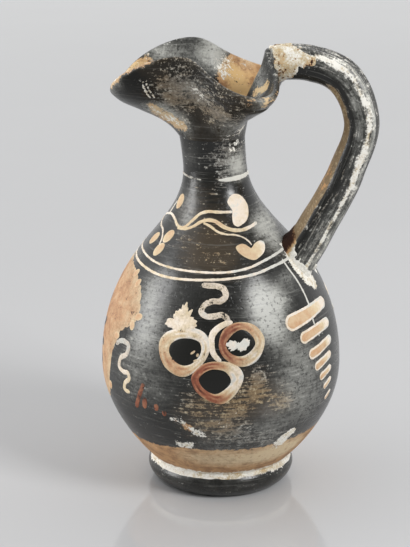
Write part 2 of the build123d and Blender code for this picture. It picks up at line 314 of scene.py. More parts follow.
def wall_point(angle, height, lift=0.0):
    """Point on the outer wall of body or neck, lifted along the wall's normal."""
    radius = vessel_radius(height) + unevenness(angle, height)
    slope = vessel_slope(height)
    length = np.hypot(1, slope)
    return ring_point(angle, radius + lift / length, height - lift * slope / length, vessel_centre(height))


FLARE_CURVE = smooth_curve(FLARE, FLARE_POINTS)


def mouth_station(angle):
    """Rim radius and outer lip height at an angle from the spout."""
    return even_series(RIM_RADII, angle), even_series(RIM_HEIGHTS, angle) - LIP_DROP


def mouth_point(angle, radius, height):
    """Point at an angle from the spout round the mouth's own axis."""
    heading = MOUTH_TURN + np.pi + angle
    x = radius * np.cos(heading) - NECK_LEAN
    return np.stack(np.broadcast_arrays(x, radius * np.sin(heading), height), -1)


def mouth_walls(angle):
    """Outer and inner wall lines at each angle, and their run: the flare curve stretched to the rim."""
    radius, height = mouth_station(angle)
    out = NECK_TOP_RADIUS + np.outer(FLARE_CURVE[:, 0], radius - NECK_TOP_RADIUS)
    up = NECK_TOP_HEIGHT + np.outer(FLARE_CURVE[:, 1], height - NECK_TOP_HEIGHT)
    run = np.stack([np.gradient(out, axis=0), np.gradient(up, axis=0)])
    run[:, 0] = np.array([0.0, 1.0])[:, None]
    run /= np.linalg.norm(run, axis=0)
    return out, up, out - run[1] * MOUTH_WALL, up + run[0] * MOUTH_WALL, run


def depth_in_mouth(points):
    """How far points lie inside the mouth's outer wall, measured level."""
    x, y, z = np.moveaxis(points, -1, 0)
    angle = np.arctan2(y, x + NECK_LEAN) - MOUTH_TURN - np.pi
    radius, height = mouth_station(angle)
    up = (z - NECK_TOP_HEIGHT) / (height - NECK_TOP_HEIGHT)
    share = np.interp(up, FLARE_CURVE[:, 1], FLARE_CURVE[:, 0])
    return NECK_TOP_RADIUS + (radius - NECK_TOP_RADIUS) * share - np.hypot(x + NECK_LEAN, y)


def depth_in_wall(points):
    """How far points lie inside the outer wall of body and neck, measured level."""
    x, y, z = np.moveaxis(points, -1, 0)
    return vessel_radius(z) - np.hypot(x + vessel_centre(z), y)


def bell(value, middle, reach):
    """Bell curve: 1 at the middle, falling off over the reach on both sides."""
    return np.exp(-(((value - middle) / reach) ** 2))


def waves(points, pitch, seed):
    """Smooth unevenness between -1 and 1 in space: sines in a few seeded directions, folded together."""
    chosen = np.random.default_rng(seed)
    turns = chosen.normal(size=(4, 3)) / pitch * 2 * np.pi * WAVE_TIGHTNESS
    starts = chosen.uniform(0, 2 * np.pi, 4)
    first = np.sin(points @ turns[0] + starts[0] + WAVE_FOLD * np.sin(points @ turns[1] + starts[1]))
    second = np.sin(points @ turns[2] + starts[2] + WAVE_FOLD * np.sin(points @ turns[3] + starts[3]))
    return (first + second) / 2


def with_ends(values):
    """Values of a grid's points, followed by those of its two end middles."""
    return np.r_[values.ravel(), values[0].mean(), values[-1].mean()]


class Shape:
    """A mesh in the making: points in millimetres, quads, triangles and named values per point."""

    def __init__(self, points, quads, triangles, values=None):
        self.points = points
        self.quads = quads
        self.triangles = triangles
        self.values = values or {}

    @classmethod
    def grid(cls, points, close_rows=False):
        """Skin over rows of closed rings; the ends meet, or are closed by a fan to the end ring's middle."""
        rows, columns, _ = points.shape
        index = np.arange(rows * columns).reshape(rows, columns)
        below = index if close_rows else index[:-1]
        above = np.roll(index, -1, 0) if close_rows else index[1:]
        quads = np.stack([below, np.roll(below, -1, 1), np.roll(above, -1, 1), above], -1).reshape(-1, 4)
        flat = points.reshape(-1, 3)
        triangles = np.zeros((0, 3), int)
        if not close_rows:
            first = np.stack([np.full(columns, rows * columns), np.roll(index[0], -1), index[0]], -1)
            last = np.stack([np.full(columns, rows * columns + 1), index[-1], np.roll(index[-1], -1)], -1)
            triangles = np.vstack([first, last])
            flat = np.vstack([flat, points[0].mean(0), points[-1].mean(0)])
        return cls(flat, quads, triangles).outward()

    @classmethod
    def joined(cls, shapes):
        """Several shapes as one."""
        starts = np.cumsum([0] + [len(s.points) for s in shapes[:-1]])
        quads = np.vstack([s.quads + k for s, k in zip(shapes, starts)])
        triangles = np.vstack([s.triangles + k for s, k in zip(shapes, starts)])
        names = shapes[0].values
        values = {name: np.concatenate([s.values[name] for s in shapes]) for name in names}
        return cls(np.vstack([s.points for s in shapes]), quads, triangles, values)

    def outward(self):
        """Turn the faces round if the enclosed volume comes out negative."""
        corners = np.vstack([self.quads[:, [0, 1, 2]], self.quads[:, [0, 2, 3]], self.triangles])
        a, b, c = np.moveaxis(self.points[corners], 1, 0)
        if np.einsum("ij,ij->i", a, np.cross(b, c)).sum() < 0:
            self.quads = self.quads[:, ::-1]
            self.triangles = self.triangles[:, ::-1]
        return self

    def mirrored(self):
        """The same shape on the other side of the handle's plane."""
        flipped = self.points * np.array([1, -1, 1])
        return Shape(flipped, self.quads[:, ::-1], self.triangles[:, ::-1], self.values)

    def with_values(self, **values):
        """Give every point the named values, each a number or one number per point."""
        for name, value in values.items():
            self.values[name] = np.broadcast_to(np.asarray(value, float), len(self.points)).copy()
        return self

    def piece(self, name, material, nodes=(), slot="black_gloss"):
        """Make the mesh object, ride it on the jug and let it stand for the named solids."""
        mesh = bpy.data.meshes.new(name)
        faces = self.quads.tolist() + self.triangles.tolist()
        mesh.from_pydata((self.points * MM).tolist(), [], faces)
        for key, value in self.values.items():
            mesh.attributes.new(key, "FLOAT", "POINT").data.foreach_set("value", value.astype(np.float32))
        mesh.shade_smooth()
        mesh.set_sharp_from_angle(angle=SHARP_EDGE)
        mesh.materials.append(material)
        mesh.update()
        item = bpy.data.objects.new(name, mesh)
        bpy.context.scene.collection.objects.link(item)
        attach(item, "root")
        if nodes:
            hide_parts(*nodes)
        return item


class Value:
    """A socket whose arithmetic adds Math nodes to its tree."""

    def __init__(self, nodes, socket):
        self.nodes = nodes
        self.socket = socket

    def math(self, operation, first, second):
        """A Math node on two values or numbers."""
        return self.nodes.node("ShaderNodeMath", {"operation": operation}, {0: first, 1: second})

    def __add__(self, other):
        return self.math("ADD", self, other)

    def __radd__(self, other):
        return self.math("ADD", other, self)

    def __sub__(self, other):
        return self.math("SUBTRACT", self, other)

    def __rsub__(self, other):
        return self.math("SUBTRACT", other, self)

    def __mul__(self, other):
        return self.math("MULTIPLY", self, other)

    def __rmul__(self, other):
        return self.math("MULTIPLY", other, self)


class Nodes:
    """A node tree in the making."""

    def __init__(self, tree):
        self.tree = tree
        self.tree.nodes.clear()

    def node(self, kind, settings, sockets, output=0):
        """Add a node: settings first, then values or links of its sockets; gives one output."""
        made = self.tree.nodes.new(kind)
        for key, value in settings.items():
            if key == "stops":
                while len(made.color_ramp.elements) < len(value):
                    made.color_ramp.elements.new(1.0)
                for stop, (place, colour) in zip(made.color_ramp.elements, value):
                    stop.position = place
                    stop.color = (*colour, 1.0)
            else:
                setattr(made, key, value)
        for key, value in sockets.items():
            if isinstance(value, Value):
                self.tree.links.new(value.socket, made.inputs[key])
            elif made.inputs[key].type == "RGBA":
                made.inputs[key].default_value = (*value, 1.0)
            else:
                made.inputs[key].default_value = value
        return Value(self, made.outputs[output]) if made.outputs else made

    def step(self, value, low, high, start=0.0, end=1.0):
        """Smooth step of a value from the start at low to the end at high."""
        settings = {"interpolation_type": "SMOOTHSTEP"}
        sockets = {"Value": value, "From Min": low, "From Max": high, "To Min": start, "To Max": end}
        return self.node("ShaderNodeMapRange", settings, sockets)


class Finish(Nodes):
    """A node material in the making."""

    def __init__(self, name):
        self.material = bpy.data.materials.new(name)
        self.material.use_nodes = True
        super().__init__(self.material.node_tree)
        self.place = self.node("ShaderNodeTexCoord", {}, {}, "Object")

    def noise(self, pitch, detail=4.0, roughness=0.55, stretch=(1, 1, 1), shift=0.0, place=None):
        """Noise between 0 and 1 on Object or given coordinates, with its pitch in millimetres."""
        sockets = {"Vector": place or self.place, "Location": (shift, shift, shift), "Scale": stretch}
        place = self.node("ShaderNodeMapping", {}, sockets)
        sockets = {"Vector": place, "Scale": 1 / (pitch * MM), "Detail": detail, "Roughness": roughness}
        return self.node("ShaderNodeTexNoise", {}, sockets)

    def lengthwise(self):
        """Coordinates that run along a piece and round it, from its own values."""
        sockets = {"X": self.attribute("along"), "Z": self.attribute("around")}
        return self.node("ShaderNodeCombineXYZ", {}, sockets)

    def attribute(self, name):
        """A named value of the mesh."""
        return self.node("ShaderNodeAttribute", {"attribute_name": name}, {}, "Fac")

    def mix(self, share, first, second):
        """Colour between two others."""
        return self.node("ShaderNodeMix", {"data_type": "RGBA"}, {0: share, 6: first, 7: second}, 2)

    def close(self, colour, roughness, height, depth, specular):
        """Wire colour, roughness and a bump of the given depth in millimetres into the surface."""
        normal = self.node("ShaderNodeBump", {}, {"Height": height, "Distance": depth * MM, "Strength": 1.0})
        sockets = {
            "Base Color": colour,
            "Roughness": roughness,
            "Normal": normal,
            "Specular IOR Level": specular,
        }
        surface = self.node("ShaderNodeBsdfPrincipled", {}, sockets)
        self.node("ShaderNodeOutputMaterial", {}, {"Surface": surface})
        return self.material


def gloss_finish(
    colours, name="worn_gloss", lengthwise=False, brushed=1.0, speckled=1.0, shine=0.5, soft=0.0
):
    """Black slip gloss over clay: brown where thin, with rubbed places, bare clay, pale film and lime crust.

    The pale film is real film in most places and painted light in others: painted highlights on body and
    handle, and a painted reflection inside the mouth. Scratches and rubbed lines run level, or along the
    piece where it has its own lengthwise values. Brushed and speckled are the strengths of lines and specks,
    and soft is how far the lime thins at its edges."""
    finish = Finish(name)
    place = finish.lengthwise() if lengthwise else finish.place
    cloud = finish.noise(pitch=26, detail=3)
    mottle = finish.noise(pitch=5.5, detail=5, roughness=0.6, shift=0.31)
    grain = finish.noise(pitch=0.9, roughness=0.65, shift=0.57)
    speck = finish.noise(pitch=2.2, detail=5, roughness=0.7, shift=0.12)
    streak = finish.noise(pitch=8, detail=6, roughness=0.72, stretch=(1, 1, 8), shift=0.83, place=place)
    hairs = finish.noise(pitch=24, roughness=0.6, stretch=(1, 1, 30), shift=0.44, place=place)
    scratch = finish.step(hairs, 0.58, 0.66)
    pit = finish.step(finish.noise(pitch=1.5, detail=3, shift=0.71), 0.33, 0.43)
    fine = ((grain - 0.5) * 1.2 + (speck - 0.5) * 1.3) * speckled
    lines = (streak - 0.5) * 1.6 * brushed
    clay = finish.attribute("clay") + (mottle - 0.5) * 0.7 + fine * 0.5 + lines * 0.5
    scuff = finish.attribute("scuff") + (mottle - 0.5) * 0.8 + lines * 1.4 + fine * 0.8
    crust = finish.attribute("crust") + (mottle - 0.5) * 0.8 + fine * 0.9 + lines * 0.5
    uneven = (mottle - 0.5) * 0.7 + fine * 0.7 + lines * 1.1
    # Pale film: real film in most places, painted highlight where the wear values put it at the lamps'
    # highlights, and a painted reflection inside the mouth
    haze = finish.attribute("haze") * (1 + uneven) + (mottle - 0.5) * 0.16
    clay_mask = finish.step(clay, 0.46, 0.56)
    scuff_mask = finish.step(scuff, 0.46, 0.62)
    crust_mask = finish.step(crust, 0.5 - soft, 0.6 + soft)
    film_and_sheen_mask = (finish.step(haze, 0.05, 0.95) * 0.9 + scratch * 0.1) * (0.35 + 0.65 * pit)
    warm = finish.step(finish.attribute("thin") + (cloud - 0.5) * 0.9 + lines * 0.5, 0.2, 0.8)
    black = finish.mix(warm, colours.gloss_deep, colours.gloss_brown)
    tone = finish.step(speck + grain, 1.0, 1.3)
    cool_rub = finish.mix(tone, colours.scuff_grey, colours.pale_film_and_sheen)
    warm_rub = finish.mix(tone, colours.scuff_tan, colours.lime_dark)
    baked = finish.step(mottle + 0.7 * streak + 0.7 * speck, 0.95, 1.4)
    bare = finish.mix(baked, colours.clay_dark, colours.clay_light)
    ochre = finish.step(finish.attribute("ochre") + (mottle - 0.5) * 1.2 + fine * 0.5, 0.2, 0.8)
    bare = finish.mix(ochre, bare, colours.ochre)
    lime = finish.mix(finish.step(grain + mottle, 0.75, 1.1), colours.lime_dark, colours.lime_light)
    colour = finish.mix(scuff_mask * 0.9, black, finish.mix(warm, cool_rub, warm_rub))
    colour = finish.mix(clay_mask, colour, bare)
    # Colour of the pale film, which also serves as painted highlight and painted reflection
    film_and_sheen_colour = finish.mix(clay_mask, colours.pale_film_and_sheen, colours.paint_cream)
    colour = finish.mix(film_and_sheen_mask, colour, film_and_sheen_colour)
    colour = finish.mix(crust_mask, colour, lime)
    roughness = 0.18 + 0.12 * mottle + 0.2 * film_and_sheen_mask + 0.35 * scuff_mask
    roughness = roughness + 0.35 * clay_mask + 0.45 * crust_mask
    height = 0.1 * grain + 0.2 * mottle + 0.4 * pit - 0.35 * scuff_mask - 0.4 * clay_mask + 1.3 * crust_mask
    return finish.close(colour, roughness, height, depth=0.1, specular=shine)


def handle_finish(colours):
    """The worn gloss with its scratches running along the handle."""
    return gloss_finish(colours, "handle_gloss", True, brushed=1.7, shine=0.4, soft=0.14)


def mouth_finish(colours):
    """The worn gloss with weaker lines and more specks, for the bent wall of the mouth."""
    return gloss_finish(colours, "mouth_gloss", brushed=0.4, speckled=1.5, shine=0.22)


def slip_finish(colours):
    """Granular slip: lime white to cream, stained tan and rust brown by the dirt value, with rusty spots."""
    finish = Finish("lime_slip")
    mottle = finish.noise(pitch=4, detail=5, roughness=0.6)
    grain = finish.noise(pitch=0.8, roughness=0.7, shift=0.4)
    speck = finish.noise(pitch=1.9, roughness=0.65, shift=0.23)
    spot = finish.step(speck + 0.4 * mottle, 0.76, 0.88)
    dirt = finish.attribute("dirt") + (mottle - 0.5) * 0.9 + (grain - 0.5) * 1.1
    dirt = dirt + spot * finish.attribute("spots")
    stops = (
        (0.0, colours.lime_light),
        (0.3, colours.lime_dark),
        (0.6, colours.clay_light),
        (1.0, colours.rust),
    )
    colour = finish.node("ShaderNodeValToRGB", {"stops": stops}, {"Fac": dirt}, "Color")
    height = grain + 1.2 * speck + 0.6 * mottle
    return finish.close(colour, 0.75 + 0.15 * grain, height, depth=0.55, specular=0.25)


def paint_finish(colours):
    """Added slip paint: chalk to white, cream, orange, red and black by tint, thinned and flaked by wear."""
    finish = Finish("slip_paint")
    mottle = finish.noise(pitch=3.2, detail=5, roughness=0.6, shift=0.21)
    grain = finish.noise(pitch=0.8, roughness=0.65, shift=0.47)
    cloud = finish.noise(pitch=9, detail=3, shift=0.63)
    wear = finish.attribute("wear")
    tint = finish.attribute("tint") + (mottle - 0.5) * 0.4 + (cloud - 0.5) * 0.3 + (grain - 0.5) * 0.16
    stops = (
        (CHALK, colours.paint_chalk),
        (WHITE, colours.paint_white),
        (CREAM, colours.paint_cream),
        (ORANGE, colours.paint_orange),
        (RED, colours.paint_red),
        (BLACK, colours.gloss_deep),
    )
    paint = finish.node("ShaderNodeValToRGB", {"stops": stops}, {"Fac": tint}, "Color")
    flaked = finish.step(wear + (mottle - 0.5) * 1.2 + (grain - 0.5) * 0.9, 0.5, 0.66)
    thinned = finish.step(wear + (grain - 0.5) * 0.8 + (cloud - 0.5) * 0.5, 0.0, 1.0) * 0.75
    pale = 1 - finish.step(tint, 0.8, 0.9)
    colour = finish.mix(thinned * pale, paint, colours.gloss_brown)
    colour = finish.mix(flaked, colour, colours.gloss_deep)
    roughness = 0.3 + 0.35 * pale - 0.3 * flaked * pale
    return finish.close(colour, roughness, grain - 0.8 * flaked, depth=0.1, specular=0.35)


def floor_finish(colours):
    """Pale satin studio floor with a barely seen mottle."""
    finish = Finish("studio_floor")
    cloud = finish.noise(pitch=220, detail=2)
    colour = finish.mix(cloud, colours.floor_dark, colours.floor_light)
    return finish.close(colour, 0.07 + 0.03 * cloud, cloud, depth=0.01, specular=0.38)


FINISHES = {
    "worn_gloss": gloss_finish,
    "handle_gloss": handle_finish,
    "mouth_gloss": mouth_finish,
    "lime_slip": slip_finish,
    "slip_paint": paint_finish,
    "studio_floor": floor_finish,
}


def finish_of(name):
    """The named finish, made once."""
    made = bpy.data.materials.get(name)
    return made or FINISHES[name](bpy.context.scene.jug_colours)


# Wear on body and neck, with painted highlights among the film patches: angle from the handle in degrees,
# height, reach and amount
SCUFF_PATCHES = (
    (94, 57, 6, 0.14), (88, 54, 7, 0.24), (80, 53.5, 7, 0.26), (72, 54, 6, 0.24), (66, 56, 5, 0.3),
    (60, 58, 5, 0.36), (54, 57, 5, 0.32), (48, 53, 6, 0.32), (43, 51, 6, 0.36), (68, 47, 6, 0.28),
    (62, 50, 5, 0.28), (85, 44, 8, 0.2), (78, 40, 9, 0.26), (68, 37, 9, 0.3), (57, 36, 9, 0.3),
    (47, 37, 9, 0.28), (58, 45, 4, -0.2), (53, 43.5, 5, -0.24), (46, 43, 5, -0.2), (59, 67, 6, 0.24),
    (36, 62, 9, 0.12), (85, 114, 15, 0.14), (70, 112, 12, 0.1), (100, 116, 10, 0.08), (40, 116, 12, 0.1),
    (56, 152, 7, 0.3), (40, 147, 8, 0.3), (60, 143, 6, 0.22), (30, 152, 9, 0.24), (84, 153, 5, 0.12),
    (104, 150, 5, 0.14), (76, 133, 7, 0.2), (100, 46, 9, 0.08), (122, 62, 12, 0.1), (57, 63, 5, 0.3),
    (52, 66, 4, 0.2), (62, 62, 4, 0.2), (-70, 50, 14, 0.28), (-95, 42, 12, 0.26), (-125, 36, 14, 0.28),
    (-35, 92, 14, 0.18), (-90, 150, 14, 0.2), (165, 30, 14, 0.2), (-20, 60, 14, 0.16), (-50, 44, 12, 0.24),
)
CRUST_PATCHES = (
    (99.5, 44.1, 2, 0.5), (94.4, 44.4, 2.4, 0.55), (92.3, 42.6, 1.8, 0.3), (88.8, 40.2, 2.2, 0.5),
    (86.2, 38.4, 2.2, 0.56), (83, 37, 2, 0.4), (98.2, 31.3, 2.4, 0.7), (94.5, 30.4, 2, 0.5),
    (91.2, 31.1, 2.4, 0.75), (41, 28.6, 2.4, 0.65), (38, 31, 2.4, 0.75), (36.2, 34.1, 2.6, 0.85),
    (34, 35, 2, 0.6), (39.5, 33, 2, 0.6), (42.5, 31, 2, 0.5), (15.2, 112, 2.5, 0.6), (17.5, 108, 2.8, 0.75),
    (16, 104.2, 4, 0.9), (12, 100, 4, 0.95), (8.6, 97.4, 4, 0.95), (5.4, 95, 3, 0.8), (54, 154.6, 3, 0.24),
    (42, 152, 3.5, 0.16), (34, 153, 3, 0.2), (28, 156.4, 4, 0.28), (66, 148, 5, 0.12), (-12, 154.7, 4, 0.4),
    (20, 150, 7, 0.16), (10, 118, 12, 0.2), (51, 92, 9, 0.12), (70, 135, 8, 0.08), (75, 42, 12, 0.15),
    (60, 40, 12, 0.18), (50, 56, 8, 0.14), (30, 45, 14, 0.06), (-60, 35, 3.4, 0.7), (-66, 38, 2.6, 0.6),
    (-130, 30, 3.4, 0.7), (-16, 104, 3.5, 0.8), (-10, 98, 3, 0.7), (160, 24, 6, 0.36), (-80, 120, 10, 0.16),
    (-150, 70, 9, 0.1),
)
CLAY_PATCHES = (
    (92, 42, 2.8, 0.6), (89, 40, 2.4, 0.5), (97, 44.5, 2.2, 0.4), (95.5, 30.8, 2.2, 0.6),
    (40, 29.8, 2, 0.5), (75, 58, 3, 0.4), (67, 60, 2.5, 0.4),
)
THIN_PATCHES = (
    (88, 114, 14, 0.62), (72, 113, 10, 0.4), (78, 52, 18, 0.6), (58, 55, 12, 0.5), (44, 51, 8, 0.5),
    (110, 130, 12, 0.2), (-80, 112, 14, 0.5), (-70, 48, 22, 0.45), (-130, 36, 14, 0.4),
)
# Pale film: real on the right side, the clay band and the far side; the patches at 113 to 122 degrees, on the
# left highlight and the neck's left side, are painted highlight, and those at 47 to 57 degrees on the right
# highlight are painted highlight over real pitted film
FILM_AND_SHEEN_PATCHES = (
    (51, 97, 7, 0.56), (50, 90, 8, 0.6), (47, 82, 7, 0.46), (57, 84, 5, 0.24), (35, 69, 15, 0.2),
    (29, 50, 16, 0.26), (42, 57, 12, 0.14), (117, 93, 8, 0.3), (114, 82, 9, 0.3), (122, 100, 6, 0.22),
    (116, 74, 8, 0.2), (21, 118, 8, 0.34), (22, 113, 7, 0.3), (26, 121, 6, 0.3), (3, 123, 8, 0.44),
    (122, 150, 6, 0.16), (122, 131, 5, 0.2), (113, 124, 5, 0.3), (25, 146, 6, 0.56), (37, 146, 5, 0.4),
    (99, 24, 6, 0.3), (87, 23, 6, 0.46), (75, 23, 6, 0.5), (64, 23, 6, 0.54), (52, 23, 6, 0.64),
    (43, 23, 6, 0.66), (34, 24, 6, 0.7), (25, 25, 6, 0.6), (75, 36, 14, 0.2), (50, 38, 10, 0.24),
    (122, 62, 14, 0.22), (105, 58, 12, 0.14), (90, 95, 14, 0.06), (29, 101, 6, 0.3), (41, 94, 6, 0.34),
    (36, 72, 6, 0.16), (0, 62, 10, 0.1), (-52, 92, 12, 0.55), (-30, 62, 20, 0.36), (-110, 70, 18, 0.24),
    (-80, 120, 14, 0.3), (-60, 150, 14, 0.3), (-150, 100, 12, 0.24), (-80, 22, 12, 0.5),
    (-120, 128, 10, 0.25), (180, 130, 12, 0.25),
)

# Bare clay above the foot, the lime line below it and the film up the neck: heights and their waves
CLAY_EDGE_TILT = 2.3
CLAY_EDGE_WANDER = 0.4
CLAY_EDGE_FADE = 2.5
FOOT_LIME_FADE = (12.0, 15.0)
NECK_FILM_FADE = (118.0, 135.0)


def nearness(away, reach):
    """Bell curve of the lengths of vectors: 1 at none, falling off over the reach."""
    return np.exp(-np.einsum("ij,ij->i", away, away) / reach**2)


def patches(points, places):
    """Sum of rounded bumps of wear, each falling off over its reach from a place on the wall."""
    total = np.zeros(len(points))
    for angle, height, reach, amount in places:
        away = points - wall_point(np.radians(angle), float(height))
        total += amount * nearness(away, reach)
    return total


def wall_wear(points):
    """Wear values of body and neck: patches, some of them painted highlights, the bare clay band above the
    foot and its lime line.
    """
    angle = np.arctan2(-points[:, 1], points[:, 0])
    z = points[:, 2]
    edge = size("clay_height") + CLAY_EDGE_TILT * np.cos(angle) + CLAY_EDGE_WANDER * np.sin(5 * angle)
    band = 1 - smooth_step(z, edge - CLAY_EDGE_FADE, edge + CLAY_EDGE_FADE)
    lime = 1 - smooth_step(z, *FOOT_LIME_FADE)
    up_neck = smooth_step(z, *NECK_FILM_FADE)
    return {
        "clay": 0.95 * band + patches(points, CLAY_PATCHES),
        "crust": 0.85 * lime + 0.12 * band + patches(points, CRUST_PATCHES),
        "scuff": 0.04 + patches(points, SCUFF_PATCHES),
        "thin": 0.1 + patches(points, THIN_PATCHES),
        "haze": 0.06 - 0.04 * up_neck + patches(points, FILM_AND_SHEEN_PATCHES),
        "ochre": 0.0,
    }


def turned(rows, columns):
    """Rings through rows of radius, height and centre shift, with the wall's unevenness where a row asks."""
    angle = np.linspace(0, 2 * np.pi, columns, endpoint=False)[None, :]
    radius, height, centre, uneven = np.asarray(rows, float).T[:, :, None]
    return ring_point(angle, radius + uneven * unevenness(angle, height), height + 0 * angle, centre)


def level_wall(height, wall):
    """Inner radius of a wall of even thickness, from the outer radius and its slope."""
    return vessel_radius(height) - wall * np.hypot(1, vessel_slope(height))


def rows_of(radius, height, centre=0.0, uneven=0.0):
    """Rows for turned(), from arrays or numbers."""
    return np.stack(np.broadcast_arrays(np.atleast_1d(radius), height, centre, uneven), -1)


def foot_shape():
    """Ring foot: a bulging outside from resting face to collar, and a plain inside with rounded edges."""
    collar = BASE_RADIUS + SLIP_GAP
    outside = smooth_curve(
        (
            (FOOT_REST_RADIUS, 0.0),
            (FOOT_REST_RADIUS + FOOT_TOE[0], FOOT_TOE[1]),
            (FOOT_BULGE_RADIUS - FOOT_LOWER_BULGE[0], FOOT_LOWER_BULGE[1]),
            (FOOT_BULGE_RADIUS, FOOT_BULGE_HEIGHT),
            (FOOT_BULGE_RADIUS - FOOT_UPPER_BULGE[0], FOOT_HEIGHT - FOOT_UPPER_BULGE[1]),
            (collar + FOOT_COLLAR_WIDTH, FOOT_HEIGHT),
        ),
        FOOT_LINE_POINTS,
    )
    inside = (
        (collar, FOOT_HEIGHT),
        (collar, FOOT_SEAT_HEIGHT),
        (FOOT_INNER_RADIUS, FOOT_SEAT_HEIGHT),
        (FOOT_INNER_RADIUS, FOOT_BEVEL),
        (FOOT_INNER_RADIUS + FOOT_BEVEL_MIDDLE, FOOT_BEVEL_MIDDLE),
        (FOOT_INNER_RADIUS + FOOT_BEVEL, 0.0),
    )
    line = np.vstack([outside, inside])
    shape = Shape.grid(turned(rows_of(line[:, 0], line[:, 1]), FOOT_RING_POINTS), close_rows=True)
    angle = np.arctan2(-shape.points[:, 1], shape.points[:, 0])
    crust = 0.42 * smooth_step(shape.points[:, 2], *FOOT_CRUST_RISE) * (0.75 + 0.5 * np.sin(angle * 3 + 0.5))
    return shape.with_values(clay=0.0, crust=crust + 0.06, scuff=0.08, thin=0.1, haze=0.14, ochre=0.0)


def foot_slip_shape():
    """Pale bead in the groove above the foot: a low fillet with wandering edges, from its top down."""
    angle = np.linspace(0, 2 * np.pi, FOOT_SLIP_POINTS, endpoint=False)
    wander = sum(depth * np.sin(turns * angle + start) for depth, turns, start in FOOT_SLIP_WAVES)
    collar = BASE_RADIUS + SLIP_GAP + FOOT_COLLAR_WIDTH
    top = FOOT_HEIGHT + FOOT_SLIP_RISE + FOOT_SLIP_WANDER * wander
    wall_drop, stand_out, drop = FOOT_SLIP_CROWN
    rings = [
        (vessel_radius(top) - FOOT_SLIP_SINK, top),
        (vessel_radius(top) + FOOT_SLIP_EDGE, top),
        (vessel_radius(top - wall_drop) + stand_out, top - drop),
    ]
    rings += [(collar + out + share * wander, FOOT_HEIGHT + up) for out, share, up in FOOT_SLIP_RINGS]
    rings.append((BASE_RADIUS - FOOT_SLIP_SEAT, FOOT_HEIGHT))
    points = np.stack([ring_point(angle, radius, height + 0 * angle, 0.0) for radius, height in rings])
    shape = Shape.grid(points, close_rows=True)
    return shape.with_values(dirt=0.1 + 0.16 * waves(shape.points, pitch=22, seed=5))


def body_shape():
    """Ovoid shell: base, outer wall, seat for the neck, inner wall and floor, closed at both middles."""
    outer = np.linspace(FOOT_HEIGHT, SHOULDER_HEIGHT, BODY_ROWS)
    inner = np.linspace(SHOULDER_HEIGHT, FOOT_HEIGHT + FLOOR_BEND_RISE, BODY_INNER_ROWS)
    floor = FOOT_SEAT_HEIGHT + BODY_FLOOR
    bend = ((level_wall(inner[-1], BODY_WALL), inner[-1]), FLOOR_BEND, (FLOOR_FLAT_RADIUS, floor))
    turn_up = smooth_curve(bend, FLOOR_BEND_ROWS)
    rows = np.vstack(
        [
            rows_of((*BASE_RINGS, BASE_RADIUS), FOOT_SEAT_HEIGHT),
            rows_of(vessel_radius(outer), outer, uneven=1.0),
            rows_of(level_wall(inner, BODY_WALL), inner),
            rows_of(turn_up[1:, 0], turn_up[1:, 1]),
            rows_of(FLOOR_RINGS, floor),
        ]
    )
    shape = Shape.grid(turned(rows, WALL_RING_POINTS))
    return shape.with_values(**wall_wear(shape.points))


def neck_shape():
    """Leaning neck: outer wall, tongue for the mouth, inner wall and the spigot that drops into the body."""
    outer = np.linspace(SHOULDER_HEIGHT, NECK_TOP_HEIGHT, NECK_ROWS)
    inner = np.linspace(NECK_TOP_HEIGHT, SHOULDER_HEIGHT, NECK_INNER_ROWS)
    spigot = level_wall(SHOULDER_HEIGHT, BODY_WALL) - SLIP_GAP
    crest = NECK_TOP_HEIGHT + TONGUE_HEIGHT
    inside = np.minimum(level_wall(inner, NECK_WALL), spigot - SPIGOT_WALL)
    rows = np.vstack(
        [
            rows_of(vessel_radius(outer), outer, vessel_centre(outer), 1.0),
            rows_of(
                (TONGUE_RADIUS + TONGUE_WIDTH, TONGUE_RADIUS + TONGUE_WIDTH, TONGUE_RADIUS, TONGUE_RADIUS),
                (NECK_TOP_HEIGHT, crest, crest, NECK_TOP_HEIGHT),
                NECK_LEAN,
            ),
            rows_of(inside, inner, vessel_centre(inner)),
            rows_of(
                (spigot - SPIGOT_WALL, spigot, spigot),
                (SHOULDER_HEIGHT - SPIGOT_DEPTH, SHOULDER_HEIGHT - SPIGOT_DEPTH, SHOULDER_HEIGHT),
            ),
        ]
    )
    shape = Shape.grid(turned(rows, WALL_RING_POINTS), close_rows=True)
    return shape.with_values(**wall_wear(shape.points))
